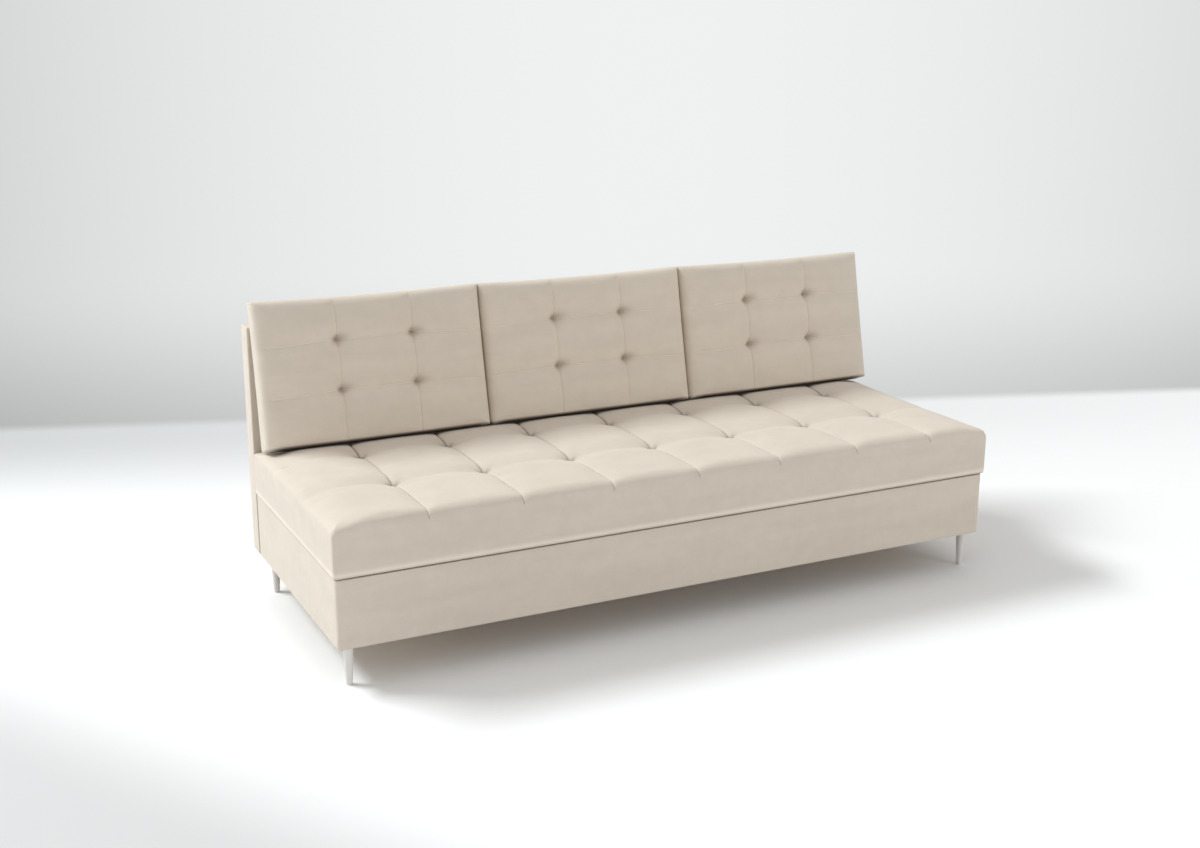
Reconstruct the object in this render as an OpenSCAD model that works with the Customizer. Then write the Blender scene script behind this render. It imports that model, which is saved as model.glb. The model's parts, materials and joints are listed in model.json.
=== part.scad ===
// Armless three-seat sofa with a lift-up seat over a bedding box.
// +X along the length, the front faces -Y, +Z up, the floor at z = 0.

/* [Box] */
// Length of the box, end to end
box_l = 2000; // [1800:10:2400]
// Depth of the box, from its front to the back panel
box_d = 755; // [700:5:850]
// Height of the box, from its underside to its rim
box_h = 185; // [180:5:230]
// Thickness of the box boards
board_t = 18; // [15:1:22]
// Padding and fabric over the boards
box_skin = 6; // [4:1:12]
// Fabric folded over the boards' edges
box_fold = 2; // [1:0.5:3]
// Rounding of the box's front corners
box_corner_r = 12; // [8:1:20]
// Height of the bearers under the floor
bearer_h = 30; // [24:2:36]
// Width of the bearers
bearer_w = 30; // [24:2:50]
// Number of bearers
bearer_n = 4; // [3:1:6]
// Side of the square corner blocks
block_w = 70; // [60:5:90]
// Thickness of the box floor
floor_t = 5; // [3:1:8]

/* [Legs] */
// Height of the legs with their glides
leg_h = 110; // [80:5:160]
// Diameter at the top of a leg
leg_top_d = 28; // [24:1:40]
// Diameter at the foot of a leg
leg_foot_d = 17; // [14:1:24]
// From the box's front and ends to the leg axis
leg_inset = 35; // [30:1:45]
// From the panel to the rear leg axis
leg_inset_rear = 31; // [28:1:45]
// Height of the glide under a leg
glide_h = 4; // [3:1:6]
// Diameter of the leg stud
stud_d = 8; // [6:1:10]
// Length of the leg stud
stud_l = 46; // [36:2:50]
// Wall of the threaded insert round a stud
insert_wall = 2; // [1.5:0.5:3]

/* [Back panel] */
// Thickness of the back panel
panel_t = 65; // [60:1:80]
// Height of the panel's top above the floor
panel_top = 778; // [720:2:840]
// Rounding of the panel's edges
panel_r = 10; // [6:1:14]
// Padding and fabric over the panel
panel_skin = 3; // [2:0.5:4]
// Thickness of the panel's front foam
panel_foam_t = 12; // [8:1:14]
// Thickness of the panel's front board
panel_board_t = 4; // [3:1:6]
// Thickness of the card behind the frame
panel_card_t = 3; // [2:0.5:4]
// Width of the frame timbers
timber_w = 40; // [34:2:50]
// Diameter of the bolts that hold the panel
bolt_d = 8; // [6:1:10]
// From the middle to the inner bolts
bolt_in_x = 300; // [240:10:320]
// Height of the bolts below the rim
bolt_drop = 45; // [40:1:60]
// From the middle to the outer bolts
bolt_out_x = 850; // [760:10:860]
// Height of a bolt head
bolt_head_h = 5; // [4:0.5:6]

/* [Seat] */
// Thickness of the seat, from its underside to its highest point
seat_t = 138.4; // [125:1:160]
// Overhang of the seat past the box's front and ends
seat_over = 6; // [0:1:12]
// Gap between the seat and the panel
seat_rear_gap = 6; // [6:1:12]
// Gap between the seat and the rim
rim_gap = 0.6; // [0.4:0.1:1.5]
// Rounding of the seat's front and end top edges
seat_roll_r = 38; // [25:1:50]
// Rounding of the seat's rear top edge
seat_rear_r = 25; // [15:1:30]
// Rounding of the seat's bottom edges
seat_foot_r = 10; // [6:1:12]
// Crown of the seat from front to back
seat_crown = 4; // [2:0.5:8]
// Thickness of the seat's cover
cover_t = 3; // [2:0.5:4]
// Fabric folded under the seat
seat_fold = 1; // [0.5:0.5:2]
// From the seat's ends and front to its frame
seat_border = 18; // [14:1:24]
// From the seat's rear to its frame
seat_rear_border = 12; // [10:1:16]
// How far the opening in the fold under the seat reaches under the front rail
fold_front_lap = 12; // [8:1:16]
// How far that opening reaches under the rear rail
fold_rear_lap = 27; // [22:1:32]
// Height of the seat frame timbers
rail_h = 30; // [24:2:40]
// Width of the front and rear rails
rail_w = 45; // [35:5:60]
// Width of the end rails
end_rail_w = 65; // [60:5:80]
// Thickness of the deck under the foam
deck_t = 8; // [6:1:12]
// Number of tuft columns
tuft_n = 7; // [6:1:8]
// From the seat's left end to the first column
tuft_left = 250; // [220:1:300]
// From the seat's right end to the last column
tuft_right = 213; // [140:1:240]
// From the seat's front to the first row of tufts
tuft_front = 270; // [240:1:320]
// Distance between the two rows
tuft_rows = 271; // [220:1:290]
// Depth of a tuft
tuft_deep = 14; // [10:1:24]
// Radius of the hollow round a tuft
tuft_r = 45; // [35:1:60]
// Diameter of a tuft's tie
tie_d = 3; // [2:0.5:4]

/* [Lifter] */
// Thickness of the base plate and the seat bracket
plate_t = 3; // [2:0.5:4]
// Thickness of the links
link_t = 4; // [3:0.5:5]
// Width of the links
link_w = 28; // [24:1:32]
// Gap between the plates and the links
link_gap = 1; // [0.8:0.1:1.5]
// Diameter of the pivot pins
pin_d = 8; // [6:0.5:10]
// Running clearance round a pin
pin_clear = 0.1; // [0.05:0.01:0.2]
// Clearance round the pin at the upper end of the front link
open_pin_clear = 1; // [0.8:0.1:1.5]
// Rear link's lower pivot, forward of the panel
rear_base_fwd = 296; // [290:1:302]
// Rear link's lower pivot, below the rim
rear_base_drop = 53; // [50:1:56]
// Front link's lower pivot, forward of the panel
front_base_fwd = 380; // [374:1:386]
// Front link's lower pivot, below the rim
front_base_drop = 123; // [118:1:124]
// Rear link's upper pivot, forward of the panel
rear_seat_fwd = 138; // [132:1:144]
// Rear link's upper pivot, below the rim
rear_seat_drop = 26; // [24:1:30]
// Front link's upper pivot, forward of the panel
front_seat_fwd = 164; // [158:1:170]
// Front link's upper pivot, below the rim
front_seat_drop = 63; // [60:1:68]
// Width of the seat bracket's flange
flange_w = 30; // [26:1:34]
// How far the flange runs past the rear pivot
flange_past_rear = 46; // [40:1:50]
// How far the flange runs past the front pivot
flange_past_front = 116; // [100:1:124]
// Diameter of the lifter's screws
screw_d = 5; // [4:0.5:6]

/* [Back cushions] */
// From the seat's left end to the left cushion
cushion_end_in = 11; // [5:1:20]
// How far the right cushion stands past the seat's right end
cushion_end_over = 17; // [0:1:20]
// Height of a cushion along its back
cushion_h = 418; // [360:2:460]
// Thickness of a cushion at its bottom edge
cushion_bottom_t = 63; // [50:1:75]
// Thickness of a cushion at its top edge
cushion_top_t = 52; // [45:1:75]
// Crown of a cushion's front
cushion_crown = 30; // [15:1:40]
// Lean of the cushions, degrees
cushion_lean = 10.3; // [8:0.1:12]
// Rounding of a cushion's edges
cushion_r = 18; // [10:1:22]
// Gap between the cushions
cushion_gap = 1; // [0.5:0.5:4]
// Depth of a tuft in a cushion
cushion_tuft_deep = 20; // [10:1:26]
// How far a cushion's crown has fallen off at its tufts
cushion_tuft_in = 3; // [2:0.5:4]
// Radius of the hollow round a cushion's tuft
cushion_tuft_r = 43; // [30:1:50]
// Height of a cushion's lower row of tufts
cushion_tuft_low = 157; // [145:1:165]
// Distance between a cushion's rows of tufts
cushion_tuft_rows = 143; // [130:1:150]
// Length of the zip in a cushion
zip_l = 500; // [400:10:520]
// Width of the zip
zip_w = 6; // [5:0.5:8]
// Clearance where soft pieces meet
soft_gap = 0.3; // [0.2:0.1:1]

/* [Hidden] */
$fn = 64;
eps = 1;  // how far a cutter passes the face that it cuts

// Colours
velour = "#d8ccba";
timber = "burlywood";
ply = "#c9a26b";
foam = "#f2e6b6";
steel = "#8f9499";
leg_grey = "#b9b0a6";
dark_plastic = "#4a4744";
lining = "#33312f";

// Levels
under_z = leg_h;
rim_z = under_z + box_h;
board_lo = under_z + box_fold;
board_hi = rim_z - box_fold;
bearer_hi = under_z + bearer_h + box_fold;
floor_hi = bearer_hi + floor_t;
seat_lo = rim_z + rim_gap;
seat_hi = seat_lo + seat_t;
frame_lo = seat_lo + seat_fold;
frame_hi = frame_lo + rail_h;
deck_hi = frame_hi + deck_t;

// Depths
panel_rear_y = (seat_over + box_d + panel_t) / 2;
panel_y = panel_rear_y - panel_t;
box_y = panel_y - box_d;
seat_front_y = box_y - seat_over;
seat_rear_y = panel_y - seat_rear_gap;
seat_mid_y = (seat_front_y + seat_rear_y) / 2;
seat_half_d = (seat_rear_y - seat_front_y) / 2;
inner_front_y = box_y + box_skin + board_t;
inner_rear_y = panel_y - board_t;

// Half lengths
box_x = box_l / 2;
board_x = box_x - box_skin;
inner_x = board_x - board_t;
seat_x = box_x + seat_over;
seat_frame_x = seat_x - seat_border;

// Seat frame, front and rear, and the space between its two long rails
frame_y = [seat_front_y + seat_border, seat_rear_y - seat_rear_border];
rails_y = [frame_y[0] + rail_w, frame_y[1] - rail_w];

// Opening in the fold under the seat, and the lining that it frames
fold_y = [rails_y[0] - fold_front_lap, rails_y[1] + fold_rear_lap];
lining_y = [fold_y[0] + 2, fold_y[1] - 3];

// Panel layers, from its front
foam_y0 = panel_y + panel_skin;
panel_board_y0 = foam_y0 + panel_foam_t;
panel_frame_y0 = panel_board_y0 + panel_board_t;
panel_frame_y1 = panel_rear_y - panel_skin - panel_card_t;
panel_x = box_x - panel_skin;
panel_in_top = panel_top - panel_skin;
panel_lo = under_z + 1;
foam_lo = rim_z + 5;
bolt_z = rim_z - bolt_drop;
bolt_xs = [-bolt_out_x, -bolt_in_x, bolt_in_x, bolt_out_x];
nut_lip = 1.5;
nut_l = 12;
nut_wall = 1.5;
middle_rail_z = bolt_z - timber_w / 2;

// Left sides of the stiles: at the panel's ends, and behind the joints between the cushions
cushion_w = (2 * seat_x - cushion_end_in + cushion_end_over - 2 * cushion_gap) / 3;
cushion_shift = (cushion_end_in + cushion_end_over) / 2;
cushion_tuft_cols = cushion_w / 3;
cushion_step = cushion_w + cushion_gap;
stile_xs = [-panel_x, cushion_shift - cushion_step / 2 - timber_w / 2,
  cushion_shift + cushion_step / 2 - timber_w / 2, panel_x - timber_w];

// Legs: how far the stud and the insert stand up in a corner block, and the glide's peg
stud_in = bearer_h - 6;
insert_h = bearer_h - 4;
peg_r = 2.5;
peg_h = 12;

// Seat crown as one wide arc
seat_arc_r = (seat_half_d * seat_half_d + seat_crown * seat_crown) / (2 * seat_crown);

// Tufts
tuft_pitch = (2 * seat_x - tuft_left - tuft_right) / (tuft_n - 1);
tuft_xs = [for (i = [0 : tuft_n - 1]) seat_x - tuft_right - i * tuft_pitch];
tuft_ys = [seat_front_y + tuft_front, seat_front_y + tuft_front + tuft_rows];
tuft_bottom = seat_hi - tuft_deep;
toggle_r = 9;
toggle_h = 3;
cross_w = 40;
cross_xs = [for (i = [1, 3, 5]) (tuft_xs[i] + tuft_xs[i - 1]) / 2];

// Lifter planes, from the box's end boards inwards
plate_x = inner_x - plate_t;
rear_link_x = plate_x - link_gap - link_t;
front_link_x = rear_link_x - link_gap - link_t;
bracket_x = front_link_x - link_gap - plate_t;
pin_r = pin_d / 2;
link_r = link_w / 2;

// Pivot pins: end play, head on a link, head let into a link and its sink, collar in the gaps
pin_air = 0.2;
head_t = 2.6;
flush_head_t = 1.4;
sink_t = pin_air + flush_head_t + pin_air;
collar_r = pin_d - 1;
rear_base = [rear_base_fwd, rim_z - rear_base_drop];
front_base = [front_base_fwd, rim_z - front_base_drop];
rear_seat = [rear_seat_fwd, rim_z - rear_seat_drop];
front_seat = [front_seat_fwd, rim_z - front_seat_drop];

// Screws of a base plate, set round its two pivots
plate_screws = [rear_base + [-34, 10], rear_base + [-20, -62], front_base + [34, 4], front_base + [16, 78]];

// Flange of a seat bracket, which runs past its two pivots
flange_ends = [rear_seat_fwd - flange_past_rear, front_seat_fwd + flange_past_front];
flange_screws = [for (t = [0.08, 0.36, 0.64, 0.92]) flange_ends[0] + t * (flange_ends[1] - flange_ends[0])];

// Cushions: a local frame at the rear bottom edge, with +Y into the panel and +Z up the back.
// The back lies on the panel's rounded edge, and the rounded bottom edge on the seat's crown.
function foot_fwd(z) =
  (panel_r + soft_gap + (panel_top - panel_r - z) * sin(cushion_lean)) / cos(cushion_lean) - panel_r;
cushion_rest_y = panel_y - foot_fwd(seat_hi) - cushion_r * (cos(cushion_lean) - sin(cushion_lean));
cushion_foot_z = seat_hi - pow(cushion_rest_y - seat_mid_y, 2) / (2 * seat_arc_r) + soft_gap
  - cushion_r * (cos(cushion_lean) + sin(cushion_lean) - 1);
cushion_x = [for (i = [-1 : 1]) cushion_shift + i * cushion_step];
cushion_mid_t = (cushion_bottom_t + cushion_top_t) / 2;
cushion_tuft_z = [cushion_tuft_low, cushion_tuft_low + cushion_tuft_rows];
round_steps = 5;

// Depth of a cushion's front at a tuft, forward of its back
tuft_front_t = cushion_mid_t + cushion_crown - cushion_tuft_in;

// Slider of a cushion's zip: length, drop below the tape, and distance from the tape's end
slider = [11, 1.5, 5];

// ---------- shared shapes ----------

// A box between two corners
module block(lo, hi) translate(lo) cube(hi - lo);

// The same piece at both ends
module both_ends() {
  children();
  mirror([1, 0, 0]) children();
}

// Cuts a corner of a 2D shape to a radius; sx and sy point into the shape
module corner_cut(x, y, sx, sy, r) translate([x, y]) difference() {
  translate([sx > 0 ? -eps : -r, sy > 0 ? -eps : -r]) square(r + eps);
  translate([sx * r, sy * r]) circle(r);
}

// A rectangle with a radius for each corner: low left, low right, high right, high left
module soft_rect(x0, x1, y0, y1, radii) difference() {
  translate([x0, y0]) square([x1 - x0, y1 - y0]);
  corner_cut(x0, y0, 1, 1, radii[0]);
  corner_cut(x1, y0, -1, 1, radii[1]);
  corner_cut(x1, y1, -1, -1, radii[2]);
  corner_cut(x0, y1, 1, -1, radii[3]);
}

// A shape drawn in (y, z), extruded along X about the middle
module along_x(half) translate([-half, 0, 0]) rotate([90, 0, 90]) linear_extrude(2 * half) children();

// A shape drawn in (forward of the panel, height), as a plate from x to x + t
module side_plate(x, t) translate([x + t, panel_y, 0]) rotate([90, 0, -90]) linear_extrude(t) children();

// A round bar along X at a point given as (forward of the panel, height)
module side_pin(x, l, r, p) translate([x, panel_y - p[0], p[1]]) rotate([0, 90, 0]) cylinder(h = l, r = r);

// A flat link between two points, with round ends
module bar_2d(a, b, r) {
  d = b - a;
  translate(a) rotate(atan2(d[1], d[0])) {
    circle(r);
    translate([norm(d), 0]) circle(r);
    translate([0, -r]) square([norm(d), 2 * r]);
  }
}

// ---------- box ----------

// Plan of the boards' outer faces
module boards_plan() translate([-board_x, box_y + box_skin]) square([2 * board_x, box_d - box_skin]);

module box_plan() soft_rect(-box_x, box_x, box_y, panel_y, [box_corner_r, box_corner_r, eps, eps]);

module inner_plan() translate([-inner_x, inner_front_y]) square([2 * inner_x, inner_rear_y - inner_front_y]);

module base_front_board() color(ply)
  block([-board_x, box_y + box_skin, board_lo], [board_x, inner_front_y, board_hi]);

module base_rear_board() color(ply) difference() {
  block([-board_x, inner_rear_y, board_lo], [board_x, panel_y, board_hi]);
  bolt_holes();
}

module end_board() difference() {
  block([inner_x, inner_front_y, board_lo], [board_x, inner_rear_y, board_hi]);
  plate_screw_shanks();
}

module base_left_board() color(ply) mirror([1, 0, 0]) end_board();
module base_right_board() color(ply) end_board();

// Places its child at the four leg axes
module at_legs() for (sx = [-1, 1], y = [box_y + leg_inset, panel_y - leg_inset_rear])
  translate([sx * (box_x - leg_inset), y, 0]) children();

module base_corner_blocks() color(timber) difference() {
  both_ends() {
    block([inner_x - block_w, inner_front_y, under_z], [inner_x, inner_front_y + block_w, bearer_hi]);
    block([inner_x - block_w, inner_rear_y - block_w, under_z], [inner_x, inner_rear_y, bearer_hi]);
  }
  at_legs() translate([0, 0, under_z - eps])
    cylinder(h = insert_h + eps, r = stud_d / 2 + insert_wall);
}

module base_floor_bearers() color(timber) {
  pitch = 2 * (inner_x - block_w) / (bearer_n + 1);
  for (i = [1 : bearer_n]) {
    x = -inner_x + block_w + i * pitch;
    block([x - bearer_w / 2, inner_front_y, board_lo], [x + bearer_w / 2, inner_rear_y, bearer_hi]);
  }
}

module base_floor_board() color(ply)
  block([-inner_x + 0.5, inner_front_y + 0.5, bearer_hi], [inner_x - 0.5, inner_rear_y - 0.5, floor_hi]);

module base_cover() color(velour) {
  difference() {
    translate([0, 0, under_z]) linear_extrude(box_h) difference() {
      box_plan();
      inner_plan();
    }
    translate([0, 0, board_lo]) linear_extrude(board_hi - board_lo) boards_plan();
  }
}

// ---------- legs ----------

module leg() translate([0, 0, glide_h]) difference() {
  cylinder(h = leg_h - glide_h, d1 = leg_foot_d, d2 = leg_top_d);
  translate([0, 0, leg_h - glide_h + stud_in - stud_l]) cylinder(h = stud_l, r = stud_d / 2);
  translate([0, 0, -eps]) cylinder(h = peg_h + eps, r = peg_r);
}

module leg_at(sx, y) color(leg_grey) translate([sx * (box_x - leg_inset), y, 0]) leg();
module leg_front_left() leg_at(-1, box_y + leg_inset);
module leg_front_right() leg_at(1, box_y + leg_inset);
module leg_rear_left() leg_at(-1, panel_y - leg_inset_rear);
module leg_rear_right() leg_at(1, panel_y - leg_inset_rear);

module leg_studs() color(steel) at_legs()
  translate([0, 0, under_z + stud_in - stud_l]) cylinder(h = stud_l, r = stud_d / 2);

module leg_inserts() color(steel) at_legs() translate([0, 0, under_z]) difference() {
  cylinder(h = insert_h, r = stud_d / 2 + insert_wall);
  translate([0, 0, -eps]) cylinder(h = bearer_h, r = stud_d / 2);
}

// A foot disc with a rounded rim and a peg up into the leg
module leg_glides() color("#cfc8be") at_legs() {
  r = leg_foot_d / 2;
  rotate_extrude() {
    soft_rect(0, r, 0, glide_h, [0.01, 1.5, 0.01, 0.01]);
    square([peg_r, glide_h + peg_h]);
  }
}

// ---------- back panel ----------

module panel_form(in) intersection() {
  along_x(box_x - in) soft_rect(panel_y + in, panel_rear_y - in, under_z, panel_top - in,
    [eps, eps, panel_r - in, panel_r - in]);
  rotate([90, 0, 0]) translate([0, 0, -panel_rear_y - eps]) linear_extrude(panel_t + 2 * eps)
    soft_rect(-box_x + in, box_x - in, under_z, panel_top - in, [eps, eps, panel_r - in, panel_r - in]);
}

// Bolt holes through the box's rear board and the panel's layers
module bolt_holes() for (x = bolt_xs)
  translate([x, inner_rear_y - eps, bolt_z]) rotate([-90, 0, 0])
    cylinder(h = panel_frame_y1 - inner_rear_y - 3, r = bolt_d / 2);

module nut_pockets() for (x = bolt_xs) translate([x, panel_frame_y1, bolt_z]) rotate([90, 0, 0]) {
  translate([0, 0, -eps]) cylinder(h = nut_lip + eps, r = bolt_d + 2);
  cylinder(h = nut_l, r = bolt_d / 2 + nut_wall);
}

module frame_timber(x0, x1, z0, z1) block([x0, panel_frame_y0, z0], [x1, panel_frame_y1, z1]);

module back_top_rail() color(timber) intersection() {
  frame_timber(-panel_x, panel_x, panel_in_top - timber_w, panel_in_top);
  panel_form(panel_skin);
}

module back_bottom_rail() color(timber) frame_timber(-panel_x, panel_x, panel_lo, panel_lo + timber_w);

module back_stiles() color(timber)
  for (x = stile_xs)
    for (z = [[panel_lo + timber_w, middle_rail_z], [middle_rail_z + timber_w, panel_in_top - timber_w]])
      frame_timber(x, x + timber_w, z[0], z[1]);

module back_middle_rail() color(timber) difference() {
  frame_timber(-panel_x, panel_x, middle_rail_z, middle_rail_z + timber_w);
  bolt_holes();
  nut_pockets();
}

module back_front_board() color(ply) difference() {
  intersection() {
    block([-panel_x, panel_board_y0, panel_lo], [panel_x, panel_frame_y0, panel_in_top]);
    panel_form(panel_skin);
  }
  bolt_holes();
}

module back_lower_packer() color(ply) difference() {
  block([-panel_x, foam_y0, panel_lo], [panel_x, panel_board_y0, foam_lo]);
  bolt_holes();
}

module back_foam() color(foam) intersection() {
  block([-panel_x, foam_y0, foam_lo], [panel_x, panel_board_y0, panel_in_top]);
  panel_form(panel_skin);
}

module back_rear_card() color(ply) intersection() {
  block([-panel_x, panel_frame_y1, panel_lo], [panel_x, panel_frame_y1 + panel_card_t, panel_in_top]);
  panel_form(panel_skin);
}

module back_cover() color(velour) difference() {
  panel_form(0);
  intersection() {
    panel_form(panel_skin);
    block([-box_l, 0, 0], [box_l, box_d, panel_top]);
  }
  bolt_holes();
}

module back_bolts() color(steel) for (x = bolt_xs) translate([x, inner_rear_y, bolt_z]) {
  rotate([-90, 0, 0]) cylinder(h = panel_frame_y1 - inner_rear_y - 4, r = bolt_d / 2);
  rotate([90, 0, 0]) cylinder(h = bolt_head_h, r1 = bolt_d, r2 = bolt_d * 0.7);
}

module back_nuts() color(steel) for (x = bolt_xs) difference() {
  translate([x, panel_frame_y1, bolt_z]) rotate([90, 0, 0]) {
    cylinder(h = nut_lip, r = bolt_d + 2);
    cylinder(h = nut_l, r = bolt_d / 2 + nut_wall);
  }
  translate([x, panel_frame_y1 + eps, bolt_z]) rotate([90, 0, 0]) cylinder(h = 20, r = bolt_d / 2);
}

// ---------- lifter ----------

module plate_screw_shanks() for (p = plate_screws) side_pin(inner_x - eps, board_t - 2 + eps, screw_d / 2, p);

module base_plate() difference() {
  side_plate(plate_x, plate_t) hull() {
    translate(rear_base) circle(16, $fn = 32);
    translate(front_base) circle(16, $fn = 32);
    for (p = plate_screws) translate(p) circle(10, $fn = 32);
  }
  for (p = [rear_base, front_base]) side_pin(plate_x - eps, plate_t + 2 * eps, pin_r, p);
  side_pin(plate_x - eps, plate_t + 2 * eps, 14, (rear_base + front_base) / 2);
  for (p = plate_screws) translate([plate_x, panel_y - p[0], p[1]]) rotate([0, 90, 0])
    cylinder(h = plate_t, r1 = screw_d, r2 = screw_d / 2);
}

module lift_base_plates() color(steel) both_ends() base_plate();

module lift_base_screws() color("#d9dcdf") both_ends() for (p = plate_screws) {
  translate([plate_x, panel_y - p[0], p[1]]) rotate([0, 90, 0])
    cylinder(h = plate_t, r1 = screw_d, r2 = screw_d / 2);
  side_pin(inner_x, board_t - 2, screw_d / 2, p);
}

// A shouldered pin through the base plate. Its head is let into the rear link, which the front link
// passes, and stands on the front link.
module lift_lower_pins() color("#d9dcdf") both_ends() {
  side_pin(rear_link_x + pin_air, inner_x - rear_link_x - pin_air, pin_r, rear_base);
  side_pin(rear_link_x + pin_air, flush_head_t, pin_d, rear_base);
  side_pin(rear_link_x + link_t + pin_air, link_gap - pin_air, collar_r, rear_base);
  side_pin(front_link_x - pin_air, inner_x - front_link_x + pin_air, pin_r, front_base);
  side_pin(front_link_x - pin_air - head_t, head_t, pin_d, front_base);
  side_pin(front_link_x + link_t + pin_air, plate_x - front_link_x - link_t - pin_air, collar_r, front_base);
}

// A flat link in its own plane, between two points
module link(x, a, b, hole_a, hole_b) difference() {
  side_plate(x, link_t) bar_2d(a, b, link_r);
  side_pin(x - eps, link_t + 2 * eps, hole_a, a);
  side_pin(x - eps, link_t + 2 * eps, hole_b, b);
}

// The rear links run next to the base plates
module rear_links() color(steel) both_ends() difference() {
  link(rear_link_x, rear_base, rear_seat, pin_r + pin_clear, pin_r + pin_clear);
  side_pin(rear_link_x - eps, sink_t + eps, pin_d + 2 * pin_clear, rear_base);
}

// The front links run next to the seat brackets
module front_links() color(steel) both_ends() difference() {
  link(front_link_x, front_base, front_seat, pin_r + pin_clear, pin_r + open_pin_clear);
  side_pin(front_link_x + link_t - sink_t, sink_t + eps, pin_d + open_pin_clear, front_seat);
}

// An upright web down to the two upper pivots, and a flange under the end rail
module seat_bracket() difference() {
  union() {
    side_plate(bracket_x, plate_t) hull() {
      translate(rear_seat) circle(15, $fn = 32);
      translate(front_seat) circle(15, $fn = 32);
      for (e = flange_ends) translate([e + (e < rear_seat_fwd ? 6 : -6), frame_lo - 6]) circle(6, $fn = 32);
    }
    block([bracket_x + plate_t - flange_w, panel_y - flange_ends[1], frame_lo - plate_t],
      [bracket_x + plate_t, panel_y - flange_ends[0], frame_lo]);
  }
  for (p = [rear_seat, front_seat]) side_pin(bracket_x - eps, plate_t + 2 * eps, pin_r, p);
  for (e = flange_screws) translate([bracket_x - flange_w / 2, panel_y - e, frame_lo - plate_t])
    cylinder(h = plate_t, r1 = screw_d, r2 = screw_d / 2);
}

module lift_seat_brackets() color(steel) both_ends() seat_bracket();

module bracket_screw_shanks() for (e = flange_screws)
  translate([bracket_x - flange_w / 2, panel_y - e, frame_lo]) cylinder(h = rail_h - 6, r = screw_d / 2);

module lift_bracket_screws() color("#d9dcdf") both_ends() {
  for (e = flange_screws) translate([bracket_x - flange_w / 2, panel_y - e, frame_lo - plate_t])
    cylinder(h = plate_t, r1 = screw_d, r2 = screw_d / 2);
  bracket_screw_shanks();
}

// A shouldered pin through the seat bracket. Its head is let into the front link, which the rear link
// passes, and stands on the rear link.
module lift_upper_pins() color("#d9dcdf") both_ends() {
  side_pin(bracket_x, rear_link_x + link_t + pin_air - bracket_x, pin_r, rear_seat);
  side_pin(rear_link_x + link_t + pin_air, head_t, pin_d, rear_seat);
  side_pin(bracket_x + plate_t, rear_link_x - pin_air - bracket_x - plate_t, collar_r, rear_seat);
  side_pin(bracket_x, front_link_x + link_t - pin_air - bracket_x, pin_r, front_seat);
  side_pin(front_link_x + link_t - pin_air - flush_head_t, flush_head_t, pin_d, front_seat);
  side_pin(bracket_x + plate_t, link_gap - pin_air, collar_r, front_seat);
}

// ---------- seat ----------

// The seat's outer form, set in by a skin on every side but its underside
module seat_form(in) intersection() {
  along_x(seat_x - in) intersection() {
    soft_rect(seat_front_y + in, seat_rear_y - in, seat_lo, seat_hi - in,
      [seat_foot_r, seat_foot_r - 4, seat_rear_r - in, seat_roll_r - in]);
    translate([seat_mid_y, seat_hi - seat_arc_r]) circle(seat_arc_r - in, $fn = 1440);
  }
  rotate([90, 0, 0]) translate([0, 0, -seat_rear_y - eps]) linear_extrude(2 * seat_half_d + 2 * eps)
    soft_rect(-seat_x + in, seat_x - in, seat_lo, seat_hi - in,
      [seat_foot_r, seat_foot_r, seat_roll_r - in, seat_roll_r - in]);
  translate([0, 0, seat_lo - eps]) linear_extrude(seat_t + 2 * eps)
    soft_rect(-seat_x + in, seat_x - in, seat_front_y + in, seat_rear_y - in,
      [box_corner_r, box_corner_r, 6, 6]);
}

module tuft_hollows(r) for (x = tuft_xs, y = tuft_ys)
  translate([x, y, tuft_bottom + tuft_r]) sphere(r);

module seat_skin(in) difference() {
  seat_form(in);
  tuft_hollows(tuft_r + in);
}

module seat_front_rail() color(timber)
  block([-seat_frame_x, frame_y[0], frame_lo], [seat_frame_x, rails_y[0], frame_hi]);

module seat_rear_rail() color(timber)
  block([-seat_frame_x, rails_y[1], frame_lo], [seat_frame_x, frame_y[1], frame_hi]);

module seat_end_rails() color(timber) both_ends() difference() {
  block([seat_frame_x - end_rail_w, rails_y[0], frame_lo], [seat_frame_x, rails_y[1], frame_hi]);
  bracket_screw_shanks();
}

module seat_cross_rails() color(timber) for (x = cross_xs)
  block([x - cross_w / 2, rails_y[0], frame_lo], [x + cross_w / 2, rails_y[1], frame_hi]);

module seat_deck() color(ply) difference() {
  block([-seat_frame_x, frame_y[0], frame_hi], [seat_frame_x, frame_y[1], deck_hi]);
  for (x = tuft_xs, y = tuft_ys) translate([x, y, frame_hi - eps]) cylinder(h = deck_t + 2 * eps, r = tie_d);
}

module seat_foam() color(foam) difference() {
  seat_skin(cover_t);
  block([-seat_frame_x, frame_y[0], seat_lo - eps], [seat_frame_x, frame_y[1], deck_hi]);
  block([-seat_x, seat_front_y, seat_lo - eps], [seat_x, seat_rear_y, frame_lo]);
  for (x = tuft_xs, y = tuft_ys) translate([x, y, deck_hi - eps]) cylinder(h = seat_t, r = tie_d);
}

module seat_cover() color(velour) difference() {
  seat_skin(0);
  difference() {
    seat_skin(cover_t);
    block([-seat_x, seat_front_y, seat_lo - eps], [seat_x, seat_rear_y, frame_lo]);
  }
  block([-rear_link_x - link_t, fold_y[0], seat_lo - eps], [rear_link_x + link_t, fold_y[1], frame_lo + eps]);
}

module seat_tuft_ties() color("#e9e2d4") for (x = tuft_xs, y = tuft_ys) translate([x, y, 0]) {
  translate([0, 0, frame_hi - toggle_h]) cylinder(h = toggle_h, r = toggle_r);
  translate([0, 0, frame_hi - toggle_h]) cylinder(h = tuft_bottom - cover_t - frame_hi + toggle_h, r = tie_d / 2);
}

module seat_underlining() color(lining)
  block([-bracket_x + flange_w, lining_y[0], seat_lo], [bracket_x - flange_w, lining_y[1], frame_lo]);

// ---------- back cushions ----------

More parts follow.
